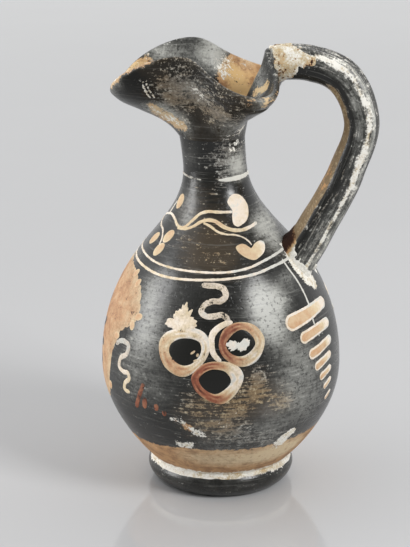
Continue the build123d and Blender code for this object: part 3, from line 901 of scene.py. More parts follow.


# Wear of the mouth, with a painted reflection among the film patches: angle from the spout, share up the
# wall, 1 inside or 0 outside, reach and amount
MOUTH_CLAY = (
    (-0.1, 1.0, 1, 3, 0.7), (-0.2, 1.0, 1, 3.2, 0.7), (-0.3, 1.0, 1, 3.4, 0.7), (-0.4, 1.0, 1, 3.4, 0.7),
    (-0.5, 1.0, 1, 3.4, 0.7), (-0.6, 0.98, 1, 3, 0.6), (-0.68, 0.95, 1, 2.4, 0.4), (-0.4, 1.0, 0, 2.5, 0.4),
    (0.0, 1.0, 1, 2.4, 0.6), (0.13, 1.0, 1, 2.4, 0.6), (0.26, 1.0, 1, 2.6, 0.6), (0.38, 1.0, 1, 3, 0.65),
    (0.5, 1.0, 1, 3, 0.7), (0.6, 1.0, 1, 3, 0.7), (0.68, 1.0, 1, 2.6, 0.6), (0.34, 1.0, 0, 2.2, 0.2),
    (0.42, 1.0, 0, 2.2, 0.3), (0.52, 1.0, 0, 1.9, 0.3), (0.62, 1.0, 0, 1.8, 0.3),
    (0.66, 0.56, 0, 3.5, 0.32), (0.64, 0.48, 0, 4, 0.32), (0.62, 0.4, 0, 4.5, 0.32), (0.7, 0.3, 0, 4, 0.32),
    (0.82, 0.2, 0, 3.5, 0.3), (0.88, 0.13, 0, 3, 0.3), (0.45, 0.46, 0, 5, 0.28), (0.4, 0.34, 0, 6, 0.26),
    (0.55, 0.22, 0, 5, 0.26), (0.75, 0.14, 0, 4.5, 0.26), (-1.72, 0.86, 1, 5, 0.5),
    (-1.75, 0.75, 1, 6, 0.7), (-1.8, 0.62, 1, 7, 0.8), (-1.95, 0.5, 1, 8, 0.9), (-2.1, 0.4, 1, 9, 0.9),
    (-1.95, 0.8, 1, 6, 0.6), (-2.2, 0.65, 1, 8, 0.5), (-2.45, 0.45, 1, 8, 0.6), (-1.93, 0.72, 1, 2.0, -0.6),
    (-2.06, 0.66, 1, 2.4, -0.6), (-2.3, 0.6, 1, 2.4, -0.5), (-1.76, 0.98, 1, 3.5, 0.6),
    (-1.88, 1.0, 1, 3.5, 0.6), (-2.0, 1.0, 1, 3.5, 0.6), (-2.12, 1.0, 1, 3, 0.5), (-1.82, 1.0, 0, 2.6, 0.5),
    (-1.98, 1.0, 0, 2.6, 0.5), (2.74, 0.6, 1, 3.8, 0.52), (2.66, 0.72, 1, 4.2, 0.5),
    (2.64, 0.86, 1, 3.5, 0.45), (2.5, 0.92, 1, 3.5, 0.4), (2.3, 0.88, 1, 4.4, 0.6), (2.16, 0.94, 1, 4, 0.6),
    (2.23, 1.0, 0, 4, 0.55), (2.4, 1.0, 0, 4, 0.5), (2.6, 0.97, 0, 3.5, 0.45), (2.05, 1.0, 0, 3, 0.4),
    (1.2, 0.9, 0, 6, 0.2), (1.3, 0.7, 0, 14, 0.1), (1.9, 0.6, 0, 12, 0.1),
)
MOUTH_CLAY_MOST = 0.76
MOUTH_OCHRE = (
    (-1.75, 0.8, 1, 7, 0.66), (-1.85, 0.65, 1, 7, 0.24), (-2.1, 0.85, 1, 7, 0.4), (-1.95, 0.5, 1, 6, 0.7),
    (2.66, 0.75, 1, 8, 1.0), (-0.4, 1.0, 1, 12, 0.9), (-0.4, 1.0, 0, 8, 0.8), (2.3, 1.0, 0, 9, 0.5),
    (2.3, 0.9, 1, 8, 0.6), (1.2, 0.9, 0, 8, 0.4), (0.2, 1.0, 1, 6, 0.9),
)
MOUTH_CRUST = (
    (0.5, 0.48, 0, 6, 0.3), (0.62, 0.34, 0, 6, 0.36), (0.82, 0.2, 0, 4, 0.3), (-0.7, 0.3, 0, 7, 0.3),
    (-0.25, 1.0, 1, 4, 0.3), (-0.5, 0.98, 1, 3.5, 0.4), (-0.66, 0.94, 1, 3, 0.42),
    (-1.57, 0.78, 1, 4.5, 0.24), (-1.62, 0.9, 1, 4, 0.24), (-1.72, 0.74, 1, 6, 0.26),
    (-1.8, 0.6, 1, 5, 0.16), (-1.86, 0.98, 1, 3, 0.34), (-1.7, 0.97, 1, 3, 0.3), (-1.45, 0.9, 1, 8, 0.08),
    (1.5, 0.74, 0, 4, 0.3), (1.42, 0.66, 0, 4, 0.2), (1.6, 0.6, 0, 5, 0.16), (2.12, 0.34, 0, 4, 0.3),
    (2.2, 0.05, 0, 3, 0.36), (2.38, 0.14, 0, 3.5, 0.4), (2.63, 0.16, 0, 4, 0.5), (1.82, 0.05, 0, 3, 0.26),
    (2.75, 0.9, 0, 5, 0.4), (2.68, 0.78, 1, 5, 0.2), (2.4, 0.98, 0, 4, 0.24), (-2.6, 0.8, 0, 9, 0.26),
    (-1.2, 0.4, 0, 10, 0.16),
)
MOUTH_SCUFF = (
    (-0.1, 0.25, 0, 8, 0.4), (0.6, 0.84, 0, 7, -0.5), (0.4, 0.78, 0, 9, -0.4), (0.1, 0.7, 0, 9, -0.35),
    (0.7, 0.45, 0, 5, 0.4), (0.64, 0.34, 0, 6, 0.4), (0.86, 0.18, 0, 5, 0.4), (1.15, 0.82, 0, 8, 0.34),
    (1.35, 0.64, 0, 9, 0.34), (1.55, 0.52, 0, 9, 0.32), (1.85, 0.5, 0, 9, 0.3), (2.1, 0.5, 0, 7, 0.26),
    (1.35, 0.08, 0, 6, -0.3), (1.75, 0.95, 0, 5, 0.24), (2.0, 0.96, 0, 5, 0.24), (0.98, 0.62, 0, 6, 0.3),
    (0.96, 0.86, 0, 5, 0.24), (0.9, 0.5, 0, 4, 0.2), (-1.6, 0.7, 1, 12, 0.12), (-2.9, 0.6, 1, 9, -0.25),
    (2.95, 0.6, 1, 6, -0.25), (-1.15, 0.85, 1, 6, -0.2), (-1.4, 0.5, 0, 16, 0.2), (-2.4, 0.5, 0, 12, 0.18),
    (-0.6, 0.8, 0, 9, 0.12),
)
# Pale film on the mouth; the patches inside the far wall, at -0.76 to -1.6, are partly film and partly a
# painted reflection
MOUTH_FILM_AND_SHEEN = (
    (1.15, 0.62, 0, 5, 0.2), (1.3, 0.75, 0, 7, 0.14), (1.45, 0.66, 0, 6, 0.2), (1.7, 0.5, 0, 9, 0.14),
    (2.1, 0.4, 0, 8, 0.26), (2.3, 0.15, 0, 8, 0.26), (-0.76, 1.0, 1, 6, 0.28), (-0.84, 0.9, 1, 7, 0.28),
    (-0.98, 0.86, 1, 6, 0.2), (-1.15, 0.85, 1, 6, 0.1), (-1.25, 0.7, 1, 7, 0.1), (-1.42, 0.98, 1, 6, 0.5),
    (-1.52, 0.88, 1, 6, 0.46), (-1.6, 0.8, 1, 5, 0.34), (-2.95, 0.7, 1, 8, 0.24), (2.95, 0.75, 1, 6, 0.24),
    (2.66, 0.7, 1, 5, 0.6), (2.25, 0.95, 1, 5, 0.5), (-1.95, 0.5, 1, 8, -0.3), (2.2, 1.0, 0, 5, 0.4),
    (-1.3, 0.5, 0, 16, 0.26), (-2.4, 0.4, 0, 12, 0.26), (-0.4, 1.0, 1, 8, 0.5), (0.7, 0.85, 0, 10, -0.15),
    (0.62, 0.46, 0, 7, 0.64), (0.72, 0.28, 0, 6, 0.5), (0.86, 0.15, 0, 5, 0.4), (0.4, 1.0, 0, 5, 0.3),
    (0.58, 1.0, 0, 5, 0.34), (0.56, 1.0, 1, 4, 0.34), (-1.88, 1.0, 1, 5, 0.3),
)

# Scratches by angle and share at both ends, then spans of angle from the spout and the crease under a lobe
MOUTH_SCRATCHES = (((0.84, 0.88), (0.75, 0.64)), ((0.88, 0.9), (0.8, 0.63)))
SCRATCH_REACH = 0.6
SPOUT_EDGE = (0.3, 0.48, 0.9, 1.05)
SCRATCH_POINTS = 18
CREASE_SHARE = 0.87
CREASE_SPREAD = 0.032
CREASE_START = (1.2, 1.6)
CREASE_END = (2.3, 2.7)
SPOUT_BLACK = (0.66, 0.96)
# Span of angle from the spout beyond which the lip gets a painted highlight
LIP_SHEEN = (0.9, 1.3)


def mouth_patches(points, inside, places):
    """Sum of rounded bumps of wear, each on its own face of the mouth's wall."""
    total = np.zeros(len(points))
    for angle, share, face, reach, amount in places:
        out, up, inner_out, inner_up, _ = mouth_walls(np.array([angle]))
        row = int(share * (len(out) - 1))
        radius, height = (inner_out, inner_up) if face else (out, up)
        away = points - mouth_point(np.array([angle]), radius[row], height[row])
        total += amount * nearness(away, reach) * (inside == face)
    return total


def mouth_wear(points, row, lip_row, turn):
    """Wear values of the mouth: patches on both faces, rubbed lip, worn spout edge, two scratches, a painted
    highlight on the lip and a painted reflection inside.
    """
    inside = (row > lip_row).astype(float)
    lip = bell(row, lip_row, LIP_WEAR_ROWS)
    start, full, fading, end = SPOUT_EDGE
    spout_edge = lip * smooth_step(turn, start, full) * (1 - smooth_step(turn, fading, end))
    along = np.linspace(0, 1, SCRATCH_POINTS)[:, None]
    lines = [np.array(first) * (1 - along) + np.array(last) * along for first, last in MOUTH_SCRATCHES]
    scratches = [(angle, share, 0, SCRATCH_REACH, 0.5) for angle, share in np.vstack(lines)]
    clay = 0.16 * lip + 0.6 * spout_edge + mouth_patches(points, inside, MOUTH_CLAY)
    black_tip = 1 - smooth_step(np.abs(turn), *SPOUT_BLACK)
    # Painted highlight: the rolled lip made paler away from the spout, where it would catch the key light
    lip_sheen = lip * smooth_step(np.abs(turn), *LIP_SHEEN)
    return {
        "clay": np.minimum(clay, MOUTH_CLAY_MOST),
        "ochre": np.clip(mouth_patches(points, inside, MOUTH_OCHRE), 0, 1),
        "crust": 0.4 * spout_edge + mouth_patches(points, inside, (*MOUTH_CRUST, *scratches)),
        "scuff": 0.14 + 0.24 * lip + mouth_patches(points, inside, MOUTH_SCUFF),
        "thin": 0.4 + 0.1 * lip - 0.2 * inside - 0.46 * black_tip,
        "haze": 0.06 + 0.14 * lip_sheen + 0.4 * spout_edge + mouth_patches(points, inside, MOUTH_FILM_AND_SHEEN),
    }


def mouth_shape():
    """Trefoil mouth: outer flare, round lip, inner flare and grooved seat, by the rim's cosine series."""
    angle = np.linspace(-np.pi, np.pi, MOUTH_RING_POINTS, endpoint=False)
    out, up, inner_out, inner_up, run = mouth_walls(angle)
    beside = smooth_step(np.abs(angle), *CREASE_START) * (1 - smooth_step(np.abs(angle), *CREASE_END))
    crease = bell(np.linspace(0, 1, len(out)), CREASE_SHARE, CREASE_SPREAD)
    out = out - size("crease_depth") * np.outer(crease, beside)
    middle = np.stack([out[-1] + inner_out[-1], up[-1] + inner_up[-1]]) / 2
    half = np.stack([out[-1] - inner_out[-1], up[-1] - inner_up[-1]]) / 2
    around = np.linspace(0, np.pi, LIP_POINTS + 2)[1:-1, None]
    lip_out = middle[0] + np.cos(around) * half[0] + np.sin(around) * run[0, -1] * MOUTH_WALL / 2
    lip_up = middle[1] + np.cos(around) * half[1] + np.sin(around) * run[1, -1] * MOUTH_WALL / 2
    groove_top = NECK_TOP_HEIGHT + TONGUE_HEIGHT + SLIP_GAP
    groove_in = TONGUE_RADIUS - SLIP_GAP
    groove_out = TONGUE_RADIUS + TONGUE_WIDTH + SLIP_GAP
    level = np.ones_like(angle)
    seat_out = np.outer((groove_in, groove_in, groove_out, groove_out), level)
    seat_up = np.outer((NECK_TOP_HEIGHT, groove_top, groove_top, NECK_TOP_HEIGHT), level)
    radius = np.vstack([out, lip_out, inner_out[::-1], seat_out])
    height = np.vstack([up, lip_up, inner_up[::-1], seat_up])
    shape = Shape.grid(mouth_point(angle[None, :], radius, height), close_rows=True)
    row = np.repeat(np.arange(len(radius)), len(angle))
    turn = np.tile(angle, len(radius))
    return shape.with_values(**mouth_wear(shape.points, row, len(out) + LIP_POINTS / 2, turn))


# Handle's surface: flares at its ends as height and reach, and its unevenness
ROOT_FLARE = (0.5, 2.5)
BASE_FLARE = (0.7, 3.0)
HANDLE_UNEVENNESS = 0.16

# Wear and painted highlight along the handle from its root, as a middle and a reach or a start and an end, or
# the reach at one end
CREST_WEAR = (26, 14)
# Film on the near face, partly a painted highlight
FACE_FILM_AND_SHEEN = (44, 18)
RIM_FILM = (46, 16)
FLECKS = (62, 14)
BURNT_CLAY = (84, 16)
ROOT_WEAR_REACH = 15
BASE_WEAR_REACH = 5
RIDGE_WEAR_START = (10, 18)
RIDGE_NARROWS = (62, 96)
RIDGE_NARROWING = 0.42
UNDERSIDE_START = (22, 40)
LOW_END = (74, 96)

# Wear and slip across the handle: shares of its half width or thickness, and millimetres from a ridge
RIDGE_WEAR = (0.83, 0.66)
BESIDE_RIDGE = (2.6, 2.0)
UNDERSIDE = (0.42, 0.56)
OUTSIDE = (0.72, 0.9)
CREST_SIDE = (0.0, 0.5)
FLANK = (0.3, 0.7)
FACE_HEIGHT = (0.1, 0.25)
FLECK_HEIGHT = (0.3, 0.3)
LOW_SIDE = (-0.4, 0.1)
NEAR_RIM = (0.2, 0.5)
UPPER_SIDE = (-0.1, 0.25)
TOP_SIDE = (0.6, 0.9)
CROOK_SIDE = (0.2, 0.7)

# Slip round the handle's ends: depth, pitch and seed of its waves, then its lengths and thicknesses
SLIP_WANDER = ((1.3, 11, 12), (1.1, 4, 31), (0.8, 2, 7))
SLIP_LUMPS = ((0.45, 3.4, 14), (0.35, 1.7, 15))
SLIP_STAINS = (9, 21)
SLIP_EDGE_SINK = 0.3
SLIP_EDGE_SHARE = 0.25
SLIP_SEAT = 0.8
SLIP_THINNING = 3.0
ROOT_SLIP_LONGEST = 22.0
ROOT_SLIP_LENGTH = 13.2
ROOT_SLIP_NEAR = 5.0
ROOT_SLIP_TOP = 5.5
ROOT_SLIP_THICKNESS = 0.55
BASE_SLIP_LONGEST = 18.0
BASE_SLIP_LENGTH = 3.4
BASE_SLIP_NEAR = 1.6
BASE_SLIP_CROOK = 6.0
BASE_SLIP_THICKNESS = 0.8
CROOK_FILL = (2.6, 2.4)


def handle_spread(t):
    """Width along the handle as a share of its middle: eased out to the root and to the base."""
    root = HANDLE_ROOT_SPREAD * (1 - smooth_step(t, 0, ROOT_TAPER_END))
    return 1 + root + HANDLE_BASE_SPREAD * smooth_step(t, BASE_TAPER_START, 1)


def handle_tube():
    """Handle section carried along its path, every line of it cut where it sinks into the mouth or the body.

    Gives points, outward directions, distances in millimetres from the two cuts, and the section's points."""
    rim, lip = mouth_station(np.pi)
    root = np.array((rim - NECK_LEAN - HANDLE_ROOT_INSET, lip + LIP_DROP - HANDLE_ROOT_DROP))
    base = np.array((vessel_radius(HANDLE_BASE_HEIGHT) - HANDLE_BASE_INSET, HANDLE_BASE_HEIGHT))
    fall = HANDLE_CREST - HANDLE_BASE_HEIGHT
    middle = [(HANDLE_REACH * out, HANDLE_CREST - fall * down) for out, down in PATH_MIDDLE]
    path = smooth_curve([root, *middle, base], HANDLE_PATH_POINTS)
    share = np.linspace(0, 1, HANDLE_RUN_IN_POINTS + 1)[:, None]
    before = root + (share[:-1] - 1) * HANDLE_RUN_IN * unit(path[1] - path[0])
    after = base + share[1:] * HANDLE_RUN_IN * unit(path[-1] - path[-2])
    path = np.vstack([before, path, after])
    run = np.gradient(path, axis=0)
    step = np.linalg.norm(run, axis=1)
    run /= step[:, None]
    along = np.linspace(0, 1, len(path))
    section = smooth_curve(SECTION, HANDLE_RING_POINTS, closed=True)
    spread = handle_spread(along)[:, None]
    sideways = section[None, :, 0] * spread * HANDLE_WIDTH / 2
    outward = section[None, :, 1] * spread * HANDLE_THICKNESS / 2
    away = np.stack([-run[:, 1, None] * outward, sideways, run[:, 0, None] * outward], -1)
    points = np.stack([path[:, 0], 0 * along, path[:, 1]], -1)[:, None, :] + away
    middle_row = len(path) // 2
    in_mouth = depth_in_mouth(points[:middle_row]) > HANDLE_SEAT_DEPTH
    in_body = depth_in_wall(points[middle_row:]) > HANDLE_SEAT_DEPTH
    start = middle_row - np.where(in_mouth.any(0), np.argmax(in_mouth[::-1], axis=0), middle_row)
    stop = middle_row + np.where(in_body.any(0), np.argmax(in_body, axis=0), len(path) - 1 - middle_row)
    row = start + np.linspace(0, 1, HANDLE_ROWS)[:, None] * (stop - start)
    low = np.minimum(row.astype(int), len(path) - 2)
    share = (row - low)[..., None]
    column = np.arange(points.shape[1])[None, :]
    cut = points[low, column] * (1 - share) + points[low + 1, column] * share
    spoke = away[low, column]
    spoke = spoke / np.linalg.norm(spoke, axis=-1, keepdims=True)
    return cut, spoke, (row - start) * step.mean(), (stop - row) * step.mean(), section


def handle_wear(points, from_root, from_base, section):
    """Wear values of the handle: clay below, rubbed ridges and crest, film outside, flecks on its flanks, and
    film on the near face and near ridge that is partly a painted highlight.
    """
    side = np.broadcast_to(section[None, :, 0], from_root.shape)
    out = np.broadcast_to(section[None, :, 1], from_root.shape)
    under = smooth_step(-out, *UNDERSIDE) * smooth_step(from_root, *UNDERSIDE_START)
    outside = smooth_step(out, *OUTSIDE)
    flank = smooth_step(np.abs(side), *FLANK)
    rise = (out - RIDGE_WEAR[1]) * HANDLE_THICKNESS / 2
    breadth = size("ridge_wear") * (1 - RIDGE_NARROWING * smooth_step(from_root, *RIDGE_NARROWS))
    near_gap = np.hypot((side + RIDGE_WEAR[0]) * HANDLE_WIDTH / 2, rise)
    far_gap = np.hypot((side - RIDGE_WEAR[0]) * HANDLE_WIDTH / 2, rise)
    near_ridge = bell(near_gap, 0, breadth)
    far_ridge = bell(far_gap, 0, breadth)
    beside = bell(near_gap, *BESIDE_RIDGE)
    crest = bell(from_root, *CREST_WEAR) * smooth_step(out, *CREST_SIDE)
    # Painted highlight on the near face, over some real film
    face = bell(out, *FACE_HEIGHT) * bell(from_root, *FACE_FILM_AND_SHEEN) * flank
    flecks = bell(out, *FLECK_HEIGHT) * bell(from_root, *FLECKS) * flank
    root = bell(from_root, 0, ROOT_WEAR_REACH)
    base = bell(from_base, 0, BASE_WEAR_REACH)
    patchy = 0.5 + 0.5 * waves(points, pitch=30, seed=8)
    ridges = near_ridge * (0.62 + 0.32 * patchy) * (1 - 0.3 * crest) + far_ridge * (0.46 + 0.4 * patchy)
    worn = smooth_step(from_root, *RIDGE_WEAR_START) * ridges
    low = smooth_step(from_root, *LOW_END) * smooth_step(out, *LOW_SIDE)
    rim = outside * smooth_step(-side, *NEAR_RIM) * bell(from_root, *RIM_FILM)
    # Film outside; on the near face and along the near ridge it is partly a painted highlight
    pale_film_and_sheen = 0.05 + outside * (0.1 + 0.16 * patchy) + 0.34 * face + 0.24 * near_ridge + 0.16 * beside
    pale_film_and_sheen = pale_film_and_sheen + 0.1 * low + 0.34 * rim
    crust = 0.06 + worn + 0.2 * base + 0.1 * root + 0.14 * crest + 0.2 * flecks + 0.18 * outside
    scuff = 0.06 + 0.1 * patchy * outside + 0.15 * crest + 0.1 * root + 0.2 * flecks + 0.16 * low
    return {
        "clay": under * (0.1 + 0.36 * bell(from_root, *BURNT_CLAY)),
        "crust": crust - 0.3 * under,
        "scuff": scuff + 0.16 * beside + 1.1 * under,
        "thin": 0.1 + 0.1 * patchy + 0.7 * under,
        "haze": pale_film_and_sheen * (1 - 0.6 * under),
        "ochre": 0 * out,
    }


def handle_shape():
    """Pulled strap handle, a little uneven, with its own lengthwise and crosswise values."""
    points, spoke, from_root, from_base, section = handle_tube()
    flare = ROOT_FLARE[0] * np.exp(-from_root / ROOT_FLARE[1])
    flare = flare + BASE_FLARE[0] * np.exp(-from_base / BASE_FLARE[1])
    points = points + spoke * (flare + HANDLE_UNEVENNESS * waves(points, pitch=26, seed=3))[..., None]
    flat = section * np.array([HANDLE_WIDTH, HANDLE_THICKNESS]) / 2
    around = np.cumsum(np.linalg.norm(np.diff(flat, axis=0, prepend=flat[:1]), axis=1))
    values = handle_wear(points, from_root, from_base, section)
    values["along"] = from_root * MM
    values["around"] = around[None, :] * MM + 0 * from_root
    return Shape.grid(points).with_values(**{name: with_ends(value) for name, value in values.items()})


def summed_waves(points, parts):
    """Sum of waves in space, each by its depth, pitch and seed."""
    return sum(depth * waves(points, pitch, seed) for depth, pitch, seed in parts)


def slip_sleeve(points, spoke, gone, length, thickness, lumps):
    """Thin lumpy sleeve on the handle: it fades out at its length, where it sinks into the surface."""
    body = smooth_step(1 - gone / length, 0, SLIP_EDGE_SHARE)
    lift = thickness * body * lumps - SLIP_EDGE_SINK * (1 - body)
    outside = points + spoke * lift[..., None]
    inside = points - spoke * SLIP_SEAT
    return Shape.grid(np.concatenate([outside, inside[::-1]]), close_rows=True)


def root_slip_shape():
    """Slip round the handle's upper end, longest on its near upper side."""
    points, spoke, gone, _, section = handle_tube()
    rows = np.argmax(gone.min(axis=1) > ROOT_SLIP_LONGEST)
    points, spoke, gone = points[:rows], spoke[:rows], gone[:rows]
    near = 0.5 - 0.5 * section[None, :, 0]
    upper = smooth_step(section[None, :, 1], *UPPER_SIDE)
    top = smooth_step(section[None, :, 1], *TOP_SIDE)
    wander = summed_waves(points, SLIP_WANDER)
    length = ROOT_SLIP_LENGTH + ROOT_SLIP_NEAR * upper * near - ROOT_SLIP_TOP * top + wander
    thickness = ROOT_SLIP_THICKNESS * (0.6 + 0.4 * np.exp(-gone / SLIP_THINNING))
    shape = slip_sleeve(points, spoke, gone, length, thickness, 1 + summed_waves(points, SLIP_LUMPS))
    return shape.with_values(dirt=0.19 + 0.16 * waves(shape.points, *SLIP_STAINS), spots=1.0)


def base_slip_shape():
    """Slip round the handle's lower end, which also fills the crook under the handle, rust brown there."""
    points, spoke, _, gone, section = handle_tube()
    rows = np.argmax(gone[::-1].min(axis=1) > BASE_SLIP_LONGEST)
    points, spoke, gone = points[-rows:], spoke[-rows:], gone[-rows:]
    near = 0.5 - 0.5 * section[None, :, 0]
    crook = smooth_step(-section[None, :, 1], *CROOK_SIDE)
    wander = summed_waves(points, SLIP_WANDER) * (1 - 0.7 * crook)
    length = BASE_SLIP_LENGTH + BASE_SLIP_NEAR * near + BASE_SLIP_CROOK * crook + wander
    thickness = BASE_SLIP_THICKNESS * (0.4 + 0.6 * np.exp(-gone / SLIP_THINNING))
    thickness = thickness + CROOK_FILL[0] * crook * np.exp(-gone / CROOK_FILL[1])
    lumps = 1 + summed_waves(points, SLIP_LUMPS) * (1 - 0.8 * crook)
    shape = slip_sleeve(points, spoke, gone, length, thickness, lumps)
    fading = crook * (1 - 0.3 * smooth_step(gone / length, 0.5, 1.0))
    rusty = np.concatenate([fading, crook + 0 * gone]).ravel()
    return shape.with_values(dirt=0.12 * waves(shape.points, *SLIP_STAINS) - 0.1 + 1.3 * rusty, spots=0.1)


# Tints of the added paint, along its colour scale
CHALK = 0.0
WHITE = 0.08
CREAM = 0.25
ORANGE = 0.5
RED = 0.75
BLACK = 1.0
FULL_BLACK = 1.3

# Millimetres for a degree round the belly and for a millimetre up it
BELLY_SCALE = np.array([np.pi / 180 * BELLY_RADIUS, 1.0])

# Sections of the paint: places across a stroke or ring, and the rise there as a share of its thickness
STROKE_ACROSS = np.array((-1, -0.8, -0.4, 0.0, 0.4, 0.8, 1, 0.7, -0.7))
STROKE_RISE = np.array((-0.1, 0.75, 0.95, 1.0, 0.95, 0.75, -0.1, -1.2, -1.2))
RING_ACROSS = np.array((0, 0.06, 0.3, 0.5, 0.7, 0.94, 1, 0.9, 0.5, 0.1))
RING_RISE = np.array((-0.1, 0.75, 0.95, 1.0, 0.95, 0.75, -0.1, -1.2, -1.2, -1.2))
DAUB_EDGE_RISE = -0.1
DAUB_BURIED_RISE = -1.2
PAINT_LIFT = 0.14
BRUSH_STEP = 0.45
ROUGH_POINTS = 8
BLUNT_END = 0.03
STROKE_LEAST_POINTS = 24
DAUB_STEP = 1.8
DAUB_SHARES = (0.05, 0.95)
DAUB_LEAST_ROWS = 6
TREMBLE = ((0.05, 1.1), (0.035, 2.7))
LEAF_POINTS = 72
RING_POINTS = 96
OVAL_POINTS = 40
TORN_POINTS = 160
TORN_WAVES = np.arange(5, 30)


def read_along(values, share):
    """Values given at even steps along a line, read at shares of its length."""
    given = np.atleast_1d(values)
    return np.interp(share, np.linspace(0, 1, len(given)), given)


def stroke(places, width, tint=CREAM, wear=0.1, lift=PAINT_LIFT):
    """Brush stroke: a smooth line through (degrees, height) places, swept with a low crowned section.

    Width, tint and wear are numbers or run evenly along the line."""
    places = np.asarray(places, float)
    scale = np.array([np.pi / 180 * vessel_radius(places[:, 1].mean()), 1.0])
    rough = smooth_curve(places * scale, len(places) * ROUGH_POINTS)
    length = np.linalg.norm(np.diff(rough, axis=0), axis=1).sum()
    line = smooth_curve(places * scale, max(STROKE_LEAST_POINTS, int(length / BRUSH_STEP))) / scale
    angle = np.radians(line[:, 0])
    height = line[:, 1]
    radius = vessel_radius(height)
    steep = np.hypot(1, vessel_slope(height))
    run = np.stack([np.gradient(angle), np.gradient(height)], -1) * np.stack([radius, steep], -1)
    step = np.linalg.norm(run, axis=1)
    run /= step[:, None]
    gone = np.cumsum(step)
    share = np.linspace(0, 1, len(line))
    (slow, slow_turns), (quick, quick_turns) = TREMBLE
    tremble = slow * np.sin(slow_turns * gone + length) + quick * np.sin(quick_turns * gone)
    half = read_along(width, share) / 2 + tremble
    near = np.clip(np.minimum(gone - gone[0], gone[-1] - gone) / half, BLUNT_END, 1)
    half = half * np.sqrt(1 - (1 - near) ** 2)
    a = angle[:, None] - run[:, 1, None] * half[:, None] * STROKE_ACROSS / radius[:, None]
    z = height[:, None] + run[:, 0, None] * half[:, None] * STROKE_ACROSS / steep[:, None]
    shape = Shape.grid(wall_point(a, z, STROKE_RISE * lift + 0 * a))
    tints = read_along(tint, share)[:, None] + 0 * STROKE_ACROSS
    wears = read_along(wear, share)[:, None] + 0 * STROKE_ACROSS
    return shape.with_values(tint=with_ends(tints), wear=with_ends(wears))


def daub(outline, tint=CREAM, wear=0.08, edge=0.0, lift=PAINT_LIFT):
    """Filled spot of paint: shares of a closed outline in (degrees, height), low-crowned and turned under."""
    outline = np.asarray(outline, float)
    middle = outline.mean(0)
    reach = np.abs(outline - middle).max(0) * (np.pi / 180 * vessel_radius(middle[1]), 1)
    rows = max(DAUB_LEAST_ROWS, int(reach.max() / DAUB_STEP))
    inner, outer = DAUB_SHARES
    share = np.r_[np.linspace(inner, outer, rows), 1.0, np.linspace(outer, inner, rows)]
    crown = 1 - 0.3 * np.linspace(0, 1, rows) ** 6
    rise = np.r_[crown, DAUB_EDGE_RISE, np.full(rows, DAUB_BURIED_RISE)] * lift
    places = middle + share[:, None, None] * (outline - middle)
    angle = np.radians(places[..., 0])
    shape = Shape.grid(wall_point(angle, places[..., 1], rise[:, None] + 0 * angle))
    left = (places[..., 0] - middle[0]) / np.abs(outline[:, 0] - middle[0]).max()
    tints = read_along(tint, (1 - left) / 2) + edge * share[:, None] ** 6
    return shape.with_values(tint=with_ends(tints), wear=wear)


def ring_band(outer, inner, tints, wear=0.12, lift=PAINT_LIFT):
    """Painted ring between two closed outlines that start at the right and go up and round; so do its tints.

    Brush lines wind through the tints and the edges are paler."""
    outer = smooth_curve(outer, RING_POINTS, closed=True)
    inner = smooth_curve(inner, RING_POINTS, closed=True)
    places = inner + RING_ACROSS[:, None, None] * (outer - inner)
    angle = np.radians(places[..., 0])
    rise = RING_RISE[:, None] * lift + 0 * angle
    shape = Shape.grid(wall_point(angle, places[..., 1], rise), close_rows=True)
    turn = np.linspace(0, 1, RING_POINTS, endpoint=False)
    across = RING_ACROSS[:, None]
    broad = 0.1 * np.sin(2 * np.pi * (2 * turn + 2.3 * across))
    narrow = 0.07 * np.sin(2 * np.pi * (5 * turn - 1.4 * across))
    shades = read_along((*tints, tints[0]), turn) + (broad + narrow) - 0.2 * np.abs(2 * across - 1) ** 4
    return shape.with_values(tint=shades.ravel(), wear=wear)


def leaf(outline, tint, wear=0.0, edge=0.0, lift=PAINT_LIFT):
    """Filled spot of paint with a smooth edge through the outline's points."""
    return daub(smooth_curve(outline, LEAF_POINTS, closed=True), tint, wear, edge, lift)


def oval(place, long, short, turn):
    """Ellipse round a (degrees, height) place by its length, width and the turn of its length from level."""
    t = np.linspace(0, 2 * np.pi, OVAL_POINTS, endpoint=False)
    c, s = np.cos(np.radians(turn)), np.sin(np.radians(turn))
    x = long / 2 * np.cos(t) * c - short / 2 * np.sin(t) * s
    y = long / 2 * np.cos(t) * s + short / 2 * np.sin(t) * c
    height = place[1] + y / np.hypot(1, vessel_slope(place[1]))
    return np.stack([place[0] - np.degrees(x / vessel_radius(height)), height], -1)


def torn(outline, reach, seed):
    """Outline with a ragged edge: the smooth curve pushed in and out along its own spokes."""
    curve = smooth_curve(outline, TORN_POINTS, closed=True)
    chosen = np.random.default_rng(seed)
    t = np.linspace(0, 2 * np.pi, TORN_POINTS, endpoint=False)[:, None]
    starts = chosen.uniform(0, 2 * np.pi, len(TORN_WAVES))
    push = (np.cos(t * TORN_WAVES + starts) / np.sqrt(TORN_WAVES)).sum(1) * reach
    spoke = (curve - curve.mean(0)) * BELLY_SCALE
    out = spoke / np.linalg.norm(spoke, axis=1, keepdims=True) * push[:, None]
    return curve + out / BELLY_SCALE


def both_sides(shapes):
    """Shapes on the painted side and their mirror images on the other."""
    return Shape.joined(list(shapes) + [s.mirrored() for s in shapes])


# Lines round neck and shoulder: places are (degrees from the handle, height)
NECK_STROKE = ((0, 141), (18, 140.8), (36, 140.6), (54, 140.4), (70, 140.4))
NECK_FADED = ((100, 140.2), (125, 140.6), (150, 140.9), (180, 141))
UPPER_LINE = (
    (12, 111.6), (25, 110.7), (43, 109), (56, 107.3), (67, 106.4), (92, 106), (120, 106.4), (151, 108),
    (180, 108.8),
)
LOWER_LINE = (
    (12, 108), (26, 107.3), (39, 106.4), (51, 105.1), (65, 104.1), (87, 103.2), (112, 102.6), (142, 104),
    (180, 105.6),
)
FRAME_LINE = ((26, 108.2), (25.4, 105), (22.7, 99.7), (21.1, 94), (20.6, 88.4), (21, 82), (18.8, 75.4))

